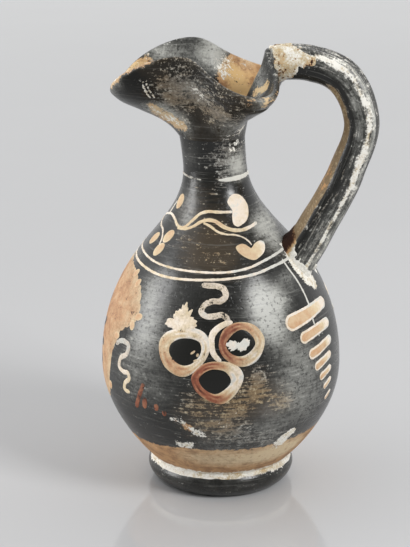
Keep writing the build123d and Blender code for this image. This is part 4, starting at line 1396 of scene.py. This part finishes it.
# Vine on the shoulder; a berry's place is followed by the turn of its length
VINE_STEM = (
    (174, 121), (162, 122.7), (144, 123.9), (132, 122.8), (122, 120.9), (115, 120.7), (106, 123.8),
    (97.5, 126.7), (88, 127.8), (76, 127.7), (56, 127.6),
)
VINE_BRANCH = (
    (122, 120.2), (110, 120.6), (102, 122), (96, 123.6), (87, 124.6), (78, 124.2), (70, 122.3), (61, 121),
    (51, 120.7), (43, 121.2), (29, 122.5),
)
VINE_TWIG = (
    (92, 123.4), (83, 122.2), (77, 120.6), (68, 119.5), (59, 119.1), (52.5, 118), (48.6, 116.5),
    (47.2, 115),
)
VINE_TAIL = ((174, 120.4), (154, 118.5), (141, 117.3), (134, 114.4), (133, 112.5))
VINE_TIP = ((153, 124), (152, 126.5), (148, 129.2))
BERRIES = ((146.6, 113.7, 62), (127.6, 116.4, 66), (130, 111.1, 68), (138.5, 129.7, 84))
KIDNEY_LEAF = (
    (60.4, 131.5), (54.3, 133.6), (45, 134.4), (33.7, 132.9), (29.4, 129.7), (34, 126.3), (41.5, 123.8),
    (49.9, 122.4), (55, 122), (58.8, 123.2), (58, 125.8), (56, 128), (58.8, 130),
)
HEART_LEAF = (
    (61.9, 114.7), (57.3, 115.8), (53, 115.5), (49.9, 113.9), (43.5, 115.5), (36.8, 116.1), (33.7, 115.2),
    (37.4, 112.5), (45, 110.5), (49.9, 109.8), (54.9, 110.7), (60, 112.7),
)

# Three rings and what hangs over them; specks have a place, length, width and lean
LEFT_RING = ((80, 77.5), (82.5, 83), (89, 85), (102, 82.5), (106, 77), (102, 68), (92.5, 64.5), (84, 70))
LEFT_HOLE = ((84.5, 75.5), (85.5, 79.5), (93, 80.5), (99, 78), (100, 74.5), (97, 71), (92.5, 69.5), (88, 71))
RIGHT_RING = ((53.5, 80), (58, 86), (67, 87.5), (74, 84.5), (76, 78), (73, 73), (65.5, 69.5), (57.5, 72))
RIGHT_HOLE = ((58.5, 79), (61, 83), (65, 84.5), (69, 83), (72.5, 79), (70.5, 75.5), (66, 74), (61.5, 75.5))
LOW_RING = (
    (64.5, 65.5), (68, 70.5), (75.5, 72), (83.5, 70.5), (88.5, 65), (86.5, 59), (81, 55), (74, 53.5),
    (68, 58),
)
LOW_HOLE = ((70.5, 63.5), (73, 67.5), (78.5, 68.5), (82.5, 67), (85, 64), (83, 60.5), (78, 58), (74, 59.5))
CRESCENT = ((69, 87.6), (75.4, 86), (79, 83), (79.6, 79), (78, 74.5), (74.9, 72))
FLAME = (
    (103.6, 85), (102.8, 87.7), (99.6, 87.5), (100.6, 89.8), (97.4, 91), (96, 94), (93, 92.5), (89.5, 89.8),
    (88, 87), (88.5, 83.9), (94, 83.3), (99, 83.5),
)
HOLE_FLAKE = (
    (72.8, 78.9), (69.9, 80.5), (66.1, 79.6), (63.3, 81.3), (61.2, 80.2), (62, 77.4), (64.8, 76),
    (67.4, 76.7), (69.7, 76.4), (71.5, 77.4),
)
HOLE_OVERLAP = 1.06
HOLE_SPECKS = ((88.2, 75.2, 2.6, 1.0, 40), (85.9, 74.2, 1.6, 1.2, 80), (86.7, 72, 2.2, 0.9, 20))
TENDRIL = (
    (86.8, 101.5), (82.5, 101.3), (77.4, 101.2), (73.3, 100), (72.3, 97.7), (75, 95.8), (80, 95.5),
    (84.2, 93.8), (85.4, 91.4), (83, 89.9), (78.6, 89.9), (74.2, 90.4), (71.9, 89), (72.3, 86),
)

# Beside the rings: dashes have two ends and a width, tongues a line and the widths at its ends
SIDE_TENDRIL = (
    (135.6, 70.6), (129.5, 73.4), (125, 72.4), (125.6, 68.8), (130.5, 65.4), (131, 61.8), (127.3, 60.4),
    (123.5, 60.4), (122.9, 58.5), (126, 55.5), (126.5, 52.8), (122.5, 52.4),
)
DASHES = (
    (113.2, 58.3, 119.3, 45.8, 2.1), (112.6, 52, 113.8, 46.8, 2.5), (106.2, 50.3, 107, 47.1, 2.4),
    (102.3, 47.7, 102.7, 45.3, 2.3),
)
TONGUES = (
    (((40.6, 83.9), (34.2, 84.8), (24.4, 85.9), (13.1, 87), (2.8, 87.2)), 7.8, 5.2),
    (((33.2, 76.8), (26.7, 77.7), (17.5, 78.7), (5.9, 78.9)), 5.4, 4.7),
    (((28.8, 69.2), (22.6, 69.8), (14.7, 71.2), (7.5, 71.8)), 5.0, 4.2),
    (((25.2, 62.8), (18.3, 64.3), (9.8, 65.8)), 4.5, 3.6),
    (((21.6, 57.4), (16.7, 58.5), (10.5, 60)), 3.8, 3.1),
    (((17.8, 51.8), (14.4, 53.2), (10.5, 54.8)), 3.2, 2.7),
    (((14.4, 45.6), (12.1, 46.9), (9.6, 48.8)), 2.8, 2.3),
)
TONGUE_FILL = 0.94
TONGUE_TINTS = (0.42, 0.42, 0.42, 0.34, 0.12, 0.06)
FAR_TURN = 10.5

# Palmette on the spout side: half of its edge from the top down, lobes with their lean, sizes from its heart
PALMETTE_EDGE = (
    (180, 103.4), (166, 103), (152, 102.2), (141, 101), (132.5, 98), (127, 95.2), (124.4, 91.6),
    (122.8, 88.2), (122.8, 84.8), (126.5, 81.6), (131, 78.8), (134.6, 76), (136, 72), (138.8, 66),
    (140, 60), (141.6, 54), (143, 48.5), (150, 42.5), (164, 38.5), (180, 37),
)
PALMETTE_LOBES = (
    (139.8, 100.2, 50), (132.8, 97.2, 55), (122, 85.2, 20), (125.2, 81.2, 100), (136.4, 74.2, 10),
    (141.4, 50.2, 60),
)
PALMETTE_HEART = (180.0, 58.0)
PALMETTE_TINT = 0.54
PALMETTE_WEAR = 0.34
LEAF_COUNT = 9
LEAF_SPREAD = 84.0
LEAF_SHORTENING = 7.5
LEAF_BEND = 0.25
LEAF_LINE_POINTS = 7
LEAF_WIDTHS = (0.6, 1.6, 2.8, 3.8, 4.4, 4.2)
HEART_SIZE = (10.5, 8.0)
DROP = ((0, -13), (0, -16), (0, -19.5))
DROP_WIDTHS = (1.4, 3.4, 2.4)
VOLUTE_MIDDLE = (10.5, -12.5)
VOLUTE_REACH = 6.8
VOLUTE_TURNS = 1.75
VOLUTE_TIGHTENING = 0.08
VOLUTE_POINTS = 34
VOLUTE_WIDTHS = (2.2, 1.8, 1.5, 1.2)
VOLUTE_STEM = ((3.5, -3.6), (6, -5.2), (10.5, -5.7))
VOLUTE_STEM_WIDTHS = (1.4, 1.8, 2.2)
PALMETTE_POINTS = 620
BLACK_LIFT = 0.17
STEM_LIFT = 0.18


def turned_away(places, turn):
    """Places moved round the wall, away from the handle."""
    return np.asarray(places, float) + (turn, 0.0)


def line_shapes():
    """White strokes round the neck, the two lines round the shoulder and the one that drops from them."""
    bright = stroke(NECK_STROKE, (1.6, 1.9, 2.1, 1.8, 0.8), tint=-0.1, wear=0.04)
    faded = stroke(NECK_FADED, (0.6, 1.0, 1.0, 0.9), tint=0.0, wear=(0.52, 0.46, 0.44))
    drop_wear = (0.1, 0.12, 0.16, 0.4)
    near_drop = stroke(FRAME_LINE, 1.0, tint=-0.1, wear=drop_wear)
    far_drop = stroke(turned_away(FRAME_LINE, FAR_TURN), 1.0, tint=-0.1, wear=drop_wear)
    upper = stroke(UPPER_LINE, (1.2, 1.1, 1.0, 1.1), (-0.1, 0.1, 0.14, 0.06), (0.2, 0.16, 0.2, 0.24))
    lower = stroke(LOWER_LINE, (1.3, 1.2, 1.2, 1.2), (-0.1, 0.12, 0.18, 0.06), (0.16, 0.22, 0.16, 0.24))
    return Shape.joined([both_sides([bright, faded, upper, lower]), near_drop, far_drop.mirrored()])


def vine_shapes():
    """Trailing vine on the shoulder: stems, berries and two leaves."""
    stem_tints = (0.05, 0.1, 0.22, 0.3, 0.26, 0.05)
    branch_tints = (0.2, 0.3, 0.34, 0.2, 0.05)
    shapes = [
        stroke(VINE_STEM, (1.1, 1.2, 1.3, 1.4, 1.4, 1.2), stem_tints, (0.24, 0.2, 0.14, 0.14)),
        stroke(VINE_BRANCH, (1.1, 1.4, 1.7, 1.9, 1.6, 1.3), branch_tints, (0.2, 0.12, 0.14, 0.2), lift=0.16),
        stroke(VINE_TWIG, (1.2, 1.1, 0.8, 0.7), (0.28, 0.2, 0.1), 0.18, lift=0.13),
        stroke(VINE_TAIL, 1.0, tint=0.1, wear=0.26),
        stroke(VINE_TIP, 1.0, tint=0.1, wear=0.26),
        leaf(KIDNEY_LEAF, (0.12, 0.13, 0.17), lift=0.2),
        leaf(HEART_LEAF, (0.4, 0.34, 0.12), edge=-0.1, lift=0.2),
    ]
    for angle, height, turn in BERRIES:
        berry = oval((angle, height), size("berry_length"), size("berry_width"), turn)
        shapes.append(daub(berry, (0.36, 0.4), 0.16, edge=-0.14, lift=0.2))
    return both_sides(shapes)


def ring_shapes():
    """Three painted rings with black middles, a torn flame of paint on one and a curling tendril above."""
    curl_wear = (0.46, 0.38, 0.48, 0.4, 0.46)
    left_tints = (0.14, 0.14, 0.2, 0.32, 0.4, 0.5, 0.5, 0.24)
    right_tints = (0.34, 0.5, 0.66, 0.7, 0.7, 0.68, 0.42, 0.16)
    low_tints = (0.08, 0.24, 0.6, 0.74, 0.8, 0.82, 0.76, 0.64, 0.24)
    shapes = [
        stroke(TENDRIL, (2.4, 2.7, 2.6, 2.4, 2.6, 2.2), (0.08, 0.14, 0.08), curl_wear, lift=0.12),
        stroke(CRESCENT, (1.8, 2.6, 2.8, 2.6, 1.8), (0.1, 0.16, 0.05), 0.2, lift=0.15),
        ring_band(LEFT_RING, LEFT_HOLE, left_tints, wear=0.3, lift=0.17),
        ring_band(RIGHT_RING, RIGHT_HOLE, right_tints, wear=0.32, lift=0.2),
        ring_band(LOW_RING, LOW_HOLE, low_tints, wear=0.24, lift=0.23),
        daub(torn(FLAME, reach=0.6, seed=4), (0.12, 0.18), 0.26, lift=0.22),
        daub(torn(HOLE_FLAKE, reach=0.3, seed=7), 0.0, 0.12, lift=0.24),
    ]
    for angle, height, long, short, lean in HOLE_SPECKS:
        shapes.append(daub(oval((angle, height), long, short, lean), 0.3, 0.4, lift=0.16))
    for hole in (LEFT_HOLE, RIGHT_HOLE, LOW_HOLE):
        middle = np.mean(hole, axis=0)
        shapes.append(leaf(middle + (np.array(hole) - middle) * HOLE_OVERLAP, FULL_BLACK, lift=0.08))
    return both_sides(shapes)


def tongue_shapes(turn):
    """Fan of outlined tongues below the handle, turned away from it by some degrees."""
    shapes = []
    for places, left, right in TONGUES:
        line = turned_away(places, turn)
        middle = line.mean(0)
        inner = middle + TONGUE_FILL * (line - middle)
        widths = np.array((left, right))
        shapes.append(stroke(line, widths, (0.12, 0.06, 0.02), 0.16, lift=0.18))
        filled = widths - 2 * size("tongue_outline")
        shapes.append(stroke(inner, filled, TONGUE_TINTS, (0.02, 0.06, 0.12), lift=0.24))
    return Shape.joined(shapes)


def side_shapes():
    """Tongues on both sides, with the red dashes and tendril that flank the spout's palmette."""
    shapes = []
    for left, high, right, low, width in DASHES:
        line = ((left, high), ((left + right) / 2, (low + high) / 2), (right, low))
        shapes.append(stroke(line, width, 0.74, (0.5, 0.4, 0.34)))
    curl_wear = (0.5, 0.44, 0.26, 0.12)
    shapes.append(stroke(SIDE_TENDRIL, (2.2, 2.4, 2.2, 2.1, 2.0), (0.05, 0.1, 0.24), curl_wear))
    return Shape.joined([tongue_shapes(0.0), tongue_shapes(FAR_TURN).mirrored(), both_sides(shapes)])


def scalloped_edge():
    """Closed outline of the palmette's field: its smooth edge pushed outwards by uneven scallops."""
    near = np.array(PALMETTE_EDGE, float)
    far = near[-2:0:-1] * (-1, 1) + (360, 0)
    curve = smooth_curve(np.vstack([near, far]) * BELLY_SCALE, PALMETTE_POINTS, closed=True)
    run = np.roll(curve, -1, 0) - np.roll(curve, 1, 0)
    length = np.linalg.norm(run, axis=1)
    gone = np.cumsum(length) / 2
    count = np.round(gone[-1] / size("scallop_pitch"))
    turn = 2 * np.pi * gone / gone[-1]
    uneven = 0.6 + 0.4 * np.sin(5 * turn + 1)
    push = size("scallop_rise") * np.abs(np.sin(count / 2 * turn + 0.9 * np.sin(7 * turn))) * uneven
    normal = np.stack([-run[:, 1], run[:, 0]], -1) / length[:, None]
    outward = np.sign(((curve - curve.mean(0)) * normal).sum()) * normal
    return (curve + outward * push[:, None]) / BELLY_SCALE


def black_stroke(line, widths, lift=BLACK_LIFT):
    """Black stroke along places in millimetres from the palmette's heart."""
    return stroke(np.array(PALMETTE_HEART) + np.asarray(line) / BELLY_SCALE, widths, FULL_BLACK, 0.0, lift)


def palmette_shapes():
    """Palmette on the spout side: a scalloped field, black leaves round a heart, two volutes and a drop."""
    shapes = [daub(scalloped_edge(), PALMETTE_TINT, PALMETTE_WEAR, edge=-0.2, lift=0.12)]
    lobes = []
    for angle, height, lean in PALMETTE_LOBES:
        lobe = oval((angle, height), size("lobe_length"), size("lobe_width"), lean)
        lobes.append(daub(lobe, 0.46, 0.12, edge=-0.24, lift=0.15))
    shapes.append(both_sides(lobes))
    start, end = size("leaf_start"), size("leaf_end")
    for lean in np.radians(np.linspace(-LEAF_SPREAD, LEAF_SPREAD, LEAF_COUNT)):
        along = np.linspace(start, end - LEAF_SHORTENING * np.abs(lean), LEAF_LINE_POINTS)[:, None]
        bend = 1 + LEAF_BEND * (along / end) ** 2
        spoke = np.concatenate([-np.sin(lean * bend), np.cos(lean * bend)], -1)
        shapes.append(black_stroke(along * spoke, LEAF_WIDTHS))
    shapes.append(daub(oval(PALMETTE_HEART, *HEART_SIZE, 0), FULL_BLACK, 0.0, lift=BLACK_LIFT))
    shapes.append(black_stroke(DROP, DROP_WIDTHS))
    for side in (-1, 1):
        turn = np.linspace(0, VOLUTE_TURNS * 2 * np.pi, VOLUTE_POINTS)
        reach = VOLUTE_REACH * (1 - VOLUTE_TIGHTENING * turn)
        out = VOLUTE_MIDDLE[0] + reach * np.sin(turn)
        up = reach * np.cos(turn) + VOLUTE_MIDDLE[1]
        shapes.append(black_stroke(np.stack([side * out, up], -1), VOLUTE_WIDTHS))
        stem = np.array(VOLUTE_STEM) * (side, 1)
        shapes.append(black_stroke(stem, VOLUTE_STEM_WIDTHS, STEM_LIFT))
    return Shape.joined(shapes)


def colour_setting(name, description, *display):
    """Colour property whose default is a display colour given from 0 to 255."""
    default = shade(*display)
    return bpy.props.FloatVectorProperty(name=name, description=description, subtype="COLOR", default=default)


def length_setting(name, description, millimetres):
    """Length property in the scene's own unit."""
    default = millimetres * MM
    return bpy.props.FloatProperty(name=name, description=description, unit="LENGTH", default=default)


def power_setting(name, description, watts):
    """Power property of a lamp."""
    return bpy.props.FloatProperty(name=name, description=description, unit="POWER", default=watts)


class JugSizes(bpy.types.PropertyGroup):
    """Sizes of the jug's wear and ornament."""

    clay_height: length_setting("Clay band", "Height of the bare clay's upper edge", 28.4)
    crease_depth: length_setting("Crease", "Depth of the creases under the side lobes", 1.1)
    ridge_wear: length_setting("Ridge wear", "Half breadth of the rubbed lines on the handle", 1.45)
    tongue_outline: length_setting("Tongue outline", "Breadth of the pale line round a tongue", 0.65)
    berry_length: length_setting("Berry length", "Length of the vine's berries", 7.2)
    berry_width: length_setting("Berry width", "Width of the vine's berries", 5.0)
    scallop_pitch: length_setting("Scallop pitch", "Spacing of the scallops round the palmette", 4.4)
    scallop_rise: length_setting("Scallop rise", "Most that a scallop stands out", 1.0)
    lobe_length: length_setting("Lobe length", "Length of the palmette's edge lobes", 4.6)
    lobe_width: length_setting("Lobe width", "Width of the palmette's edge lobes", 3.2)
    leaf_start: length_setting("Leaf start", "Distance of the leaves from the palmette's heart", 7.0)
    leaf_end: length_setting("Leaf end", "Reach of the middle leaf from the palmette's heart", 33.0)


class JugColours(bpy.types.PropertyGroup):
    """Colours of the jug's finishes and of the floor."""

    gloss_deep: colour_setting("Gloss", "Black slip gloss", 23, 23, 20)
    gloss_brown: colour_setting("Thin gloss", "Gloss where it is thin", 66, 57, 45)
    # Grey of the film, also the colour of the painted highlights and painted reflection
    pale_film_and_sheen: colour_setting("Film", "Grey film on the gloss", 196, 196, 189)
    scuff_grey: colour_setting("Scuff", "Rubbed gloss", 108, 104, 97)
    scuff_tan: colour_setting("Tan scuff", "Gloss rubbed to the clay", 136, 112, 78)
    clay_dark: colour_setting("Dark clay", "Fired clay in shade", 152, 112, 76)
    clay_light: colour_setting("Clay", "Fired clay", 202, 158, 112)
    ochre: colour_setting("Ochre", "Yellow clay inside the mouth", 214, 180, 126)
    lime_dark: colour_setting("Stained lime", "Stained lime crust", 204, 186, 150)
    lime_light: colour_setting("Lime", "Lime crust", 250, 247, 238)
    rust: colour_setting("Rust", "Rusty stain in slip", 54, 30, 20)
    paint_chalk: colour_setting("Chalk paint", "Added white, thin and grey", 226, 224, 215)
    paint_white: colour_setting("White paint", "Added white", 250, 236, 219)
    paint_cream: colour_setting("Cream paint", "Added cream", 229, 209, 173)
    paint_orange: colour_setting("Orange paint", "Added orange", 208, 164, 125)
    paint_red: colour_setting("Red paint", "Added red", 156, 90, 66)
    floor_light: colour_setting("Floor", "Studio floor", 206, 206, 207)
    floor_dark: colour_setting("Floor shade", "Studio floor, darker", 201, 201, 202)


class JugLight(bpy.types.PropertyGroup):
    """Levels of the studio light."""

    key: power_setting("Key", "Front light", 8.6)
    side: power_setting("Side", "Broad light on the left", 5.5)
    glint: power_setting("Glint", "Tall light on the jug's left", 9.4)
    sky: bpy.props.FloatProperty(name="Surround", description="Even light all round", default=0.95)


class JugPiece(bpy.types.Operator):
    """Shared start of the operators that make a piece of the jug."""

    bl_options = {"REGISTER", "UNDO"}


class JUG_OT_foot(JugPiece):
    """Make the ring foot and the pale slip above it"""

    bl_idname = "jug.foot"
    bl_label = "Foot"

    def execute(self, context):
        foot_shape().piece("foot", finish_of("worn_gloss"), ["foot_ring"])
        foot_slip_shape().piece("foot_slip", finish_of("lime_slip"), ["foot_joint_slip"], "pale_slip")
        return {"FINISHED"}


class JUG_OT_body(JugPiece):
    """Make the ovoid body"""

    bl_idname = "jug.body"
    bl_label = "Body"

    def execute(self, context):
        body_shape().piece("ovoid_body", finish_of("worn_gloss"), ["body"])
        return {"FINISHED"}


class JUG_OT_neck(JugPiece):
    """Make the leaning neck, and finish the slip hidden in its joints"""

    bl_idname = "jug.neck"
    bl_label = "Neck"

    def execute(self, context):
        neck_shape().piece("leaning_neck", finish_of("worn_gloss"), ["neck"])
        for node in ("neck_joint_slip", "mouth_joint_slip"):
            solid = frame["nodes"][node]
            solid.data.materials.clear()
            solid.data.materials.append(finish_of("lime_slip"))
        return {"FINISHED"}


class JUG_OT_mouth(JugPiece):
    """Make the three-lobed mouth"""

    bl_idname = "jug.mouth"
    bl_label = "Mouth"

    def execute(self, context):
        mouth_shape().piece("trefoil_mouth", finish_of("mouth_gloss"), ["mouth"])
        return {"FINISHED"}


class JUG_OT_handle(JugPiece):
    """Make the strap handle and the slip round its ends"""

    bl_idname = "jug.handle"
    bl_label = "Handle"

    def execute(self, context):
        handle_shape().piece("strap_handle", finish_of("handle_gloss"), ["handle"])
        root_slip_shape().piece("root_slip", finish_of("lime_slip"), ["handle_root_slip"], "pale_slip")
        base_slip_shape().piece("base_slip", finish_of("lime_slip"), ["handle_base_slip"], "pale_slip")
        return {"FINISHED"}


class JUG_OT_ornament(JugPiece):
    """Paint the lines, vine, rings, tongues and palmette"""

    bl_idname = "jug.ornament"
    bl_label = "Ornament"

    def execute(self, context):
        paint = finish_of("slip_paint")
        line_shapes().piece("painted_lines", paint, slot="added_cream")
        vine_shapes().piece("painted_vine", paint, slot="added_cream")
        ring_shapes().piece("painted_rings", paint, slot="added_cream")
        side_shapes().piece("painted_tongues", paint, slot="added_cream")
        palmette_shapes().piece("painted_palmette", paint, slot="added_cream")
        return {"FINISHED"}


class JUG_OT_stage(JugPiece):
    """Set the floor, the lights and the camera"""

    bl_idname = "jug.stage"
    bl_label = "Stage"

    def execute(self, context):
        scene = context.scene
        light = scene.jug_light
        scene.view_settings.view_transform = "Standard"
        self.lay_floor()
        self.hang_light("key", light.key, KEY_SIZE, KEY_PLACE)
        self.hang_light("side", light.side, SIDE_SIZE, SIDE_PLACE)
        self.hang_light("glint", light.glint, GLINT_SIZE, GLINT_PLACE, self.gather_jug())
        self.surround(scene, light.sky)
        self.set_camera(scene)
        return {"FINISHED"}

    def lay_floor(self):
        """One large level face, well past the picture's edges."""
        mesh = bpy.data.meshes.new("studio_floor")
        corners = [(x * FLOOR_REACH, y * FLOOR_REACH, 0) for x, y in ((-1, -1), (1, -1), (1, 1), (-1, 1))]
        mesh.from_pydata(corners, [], [(0, 1, 2, 3)])
        mesh.materials.append(finish_of("studio_floor"))
        floor = bpy.data.objects.new("studio_floor", mesh)
        bpy.context.scene.collection.objects.link(floor)

    def gather_jug(self):
        """Collection of every mesh but the floor, for a light that falls on the jug alone."""
        jug = bpy.data.collections.new("lit_jug")
        for item in bpy.context.scene.objects:
            if item.type == "MESH" and item.name != "studio_floor":
                jug.objects.link(item)
        return jug

    def hang_light(self, name, power, extent, place, only=None):
        """Soft rectangular light aimed at the jug's middle, lighting one collection or everything."""
        lamp = bpy.data.lights.new(name, "AREA")
        lamp.shape = "RECTANGLE"
        lamp.size, lamp.size_y = extent
        lamp.energy = power
        item = bpy.data.objects.new(name, lamp)
        across, away, up = place
        item.location = CAMERA_RIGHT * across + CAMERA_FORWARD * away + np.array([0, 0, up])
        aim = Vector((0, 0, AIM_HEIGHT)) - item.location
        item.rotation_euler = aim.to_track_quat("-Z", "Y").to_euler()
        bpy.context.scene.collection.objects.link(item)
        item.light_linking.receiver_collection = only

    def surround(self, scene, level):
        """Pale surround, brighter behind the jug than on the camera's side."""
        world = bpy.data.worlds.new("surround")
        world.use_nodes = True
        nodes = Nodes(world.node_tree)
        place = nodes.node("ShaderNodeTexCoord", {}, {}, "Generated")
        facing = nodes.node(
            "ShaderNodeVectorMath", {"operation": "DOT_PRODUCT"}, {0: place, 1: CAMERA_FORWARD}, "Value"
        )
        strength = nodes.step(facing, SKY_DIM_FACING, SKY_FULL_FACING, SKY_DIM_SHARE * level, level)
        sky = nodes.node("ShaderNodeBackground", {}, {"Color": SKY_TINT, "Strength": strength})
        nodes.node("ShaderNodeOutputWorld", {}, {"Surface": sky})
        scene.world = world

    def set_camera(self, scene):
        """Camera at the photograph's place: its distance, height, pitch and pan fit the outline there."""
        heading = CAMERA_ROUND + CAMERA_PAN
        right = Vector((np.cos(heading), np.sin(heading), 0))
        flat = Vector((-np.sin(heading), np.cos(heading), 0))
        look = flat * np.cos(CAMERA_PITCH) - Vector((0, 0, 1)) * np.sin(CAMERA_PITCH)
        up = right.cross(look)
        place = Vector((np.sin(CAMERA_ROUND), -np.cos(CAMERA_ROUND), 0)) * CAMERA_DISTANCE
        place.z = CAMERA_HEIGHT
        data = bpy.data.cameras.new("camera")
        data.sensor_width = SENSOR
        data.lens = SENSOR * PHOTO_FOCAL / PHOTO_HEIGHT
        data.clip_start = CAMERA_NEAR
        camera = bpy.data.objects.new("camera", data)
        axes = Matrix((right, up, -look)).transposed().to_4x4()
        camera.matrix_world = Matrix.Translation(place * MM) @ axes
        scene.collection.objects.link(camera)
        scene.camera = camera


OPERATORS = (
    JUG_OT_foot,
    JUG_OT_body,
    JUG_OT_neck,
    JUG_OT_mouth,
    JUG_OT_handle,
    JUG_OT_ornament,
    JUG_OT_stage,
)


class JUG_PT_panel(bpy.types.Panel):
    """Sidebar list of the jug's pieces"""

    bl_label = "Trefoil wine jug"
    bl_space_type = "VIEW_3D"
    bl_region_type = "UI"
    bl_category = "Jug"

    def draw(self, context):
        for operator in OPERATORS:
            self.layout.operator(operator.bl_idname)
        scene = context.scene
        for settings in (scene.jug_sizes, scene.jug_colours, scene.jug_light):
            for name in settings.__annotations__:
                self.layout.prop(settings, name)


CLASSES = (JugSizes, JugColours, JugLight, *OPERATORS, JUG_PT_panel)


def register():
    """Add the classes and the jug's settings."""
    for item in CLASSES:
        bpy.utils.register_class(item)
    bpy.types.Scene.jug_sizes = bpy.props.PointerProperty(type=JugSizes)
    bpy.types.Scene.jug_colours = bpy.props.PointerProperty(type=JugColours)
    bpy.types.Scene.jug_light = bpy.props.PointerProperty(type=JugLight)


def unregister():
    """Take the settings and the classes away again."""
    del bpy.types.Scene.jug_light
    del bpy.types.Scene.jug_colours
    del bpy.types.Scene.jug_sizes
    for item in reversed(CLASSES):
        bpy.utils.unregister_class(item)


def main():
    """Make every piece and the stage."""
    register()
    bpy.ops.jug.foot()
    bpy.ops.jug.body()
    bpy.ops.jug.neck()
    bpy.ops.jug.mouth()
    bpy.ops.jug.handle()
    bpy.ops.jug.ornament()
    bpy.ops.jug.stage()


if __name__ == "__main__":
    main()
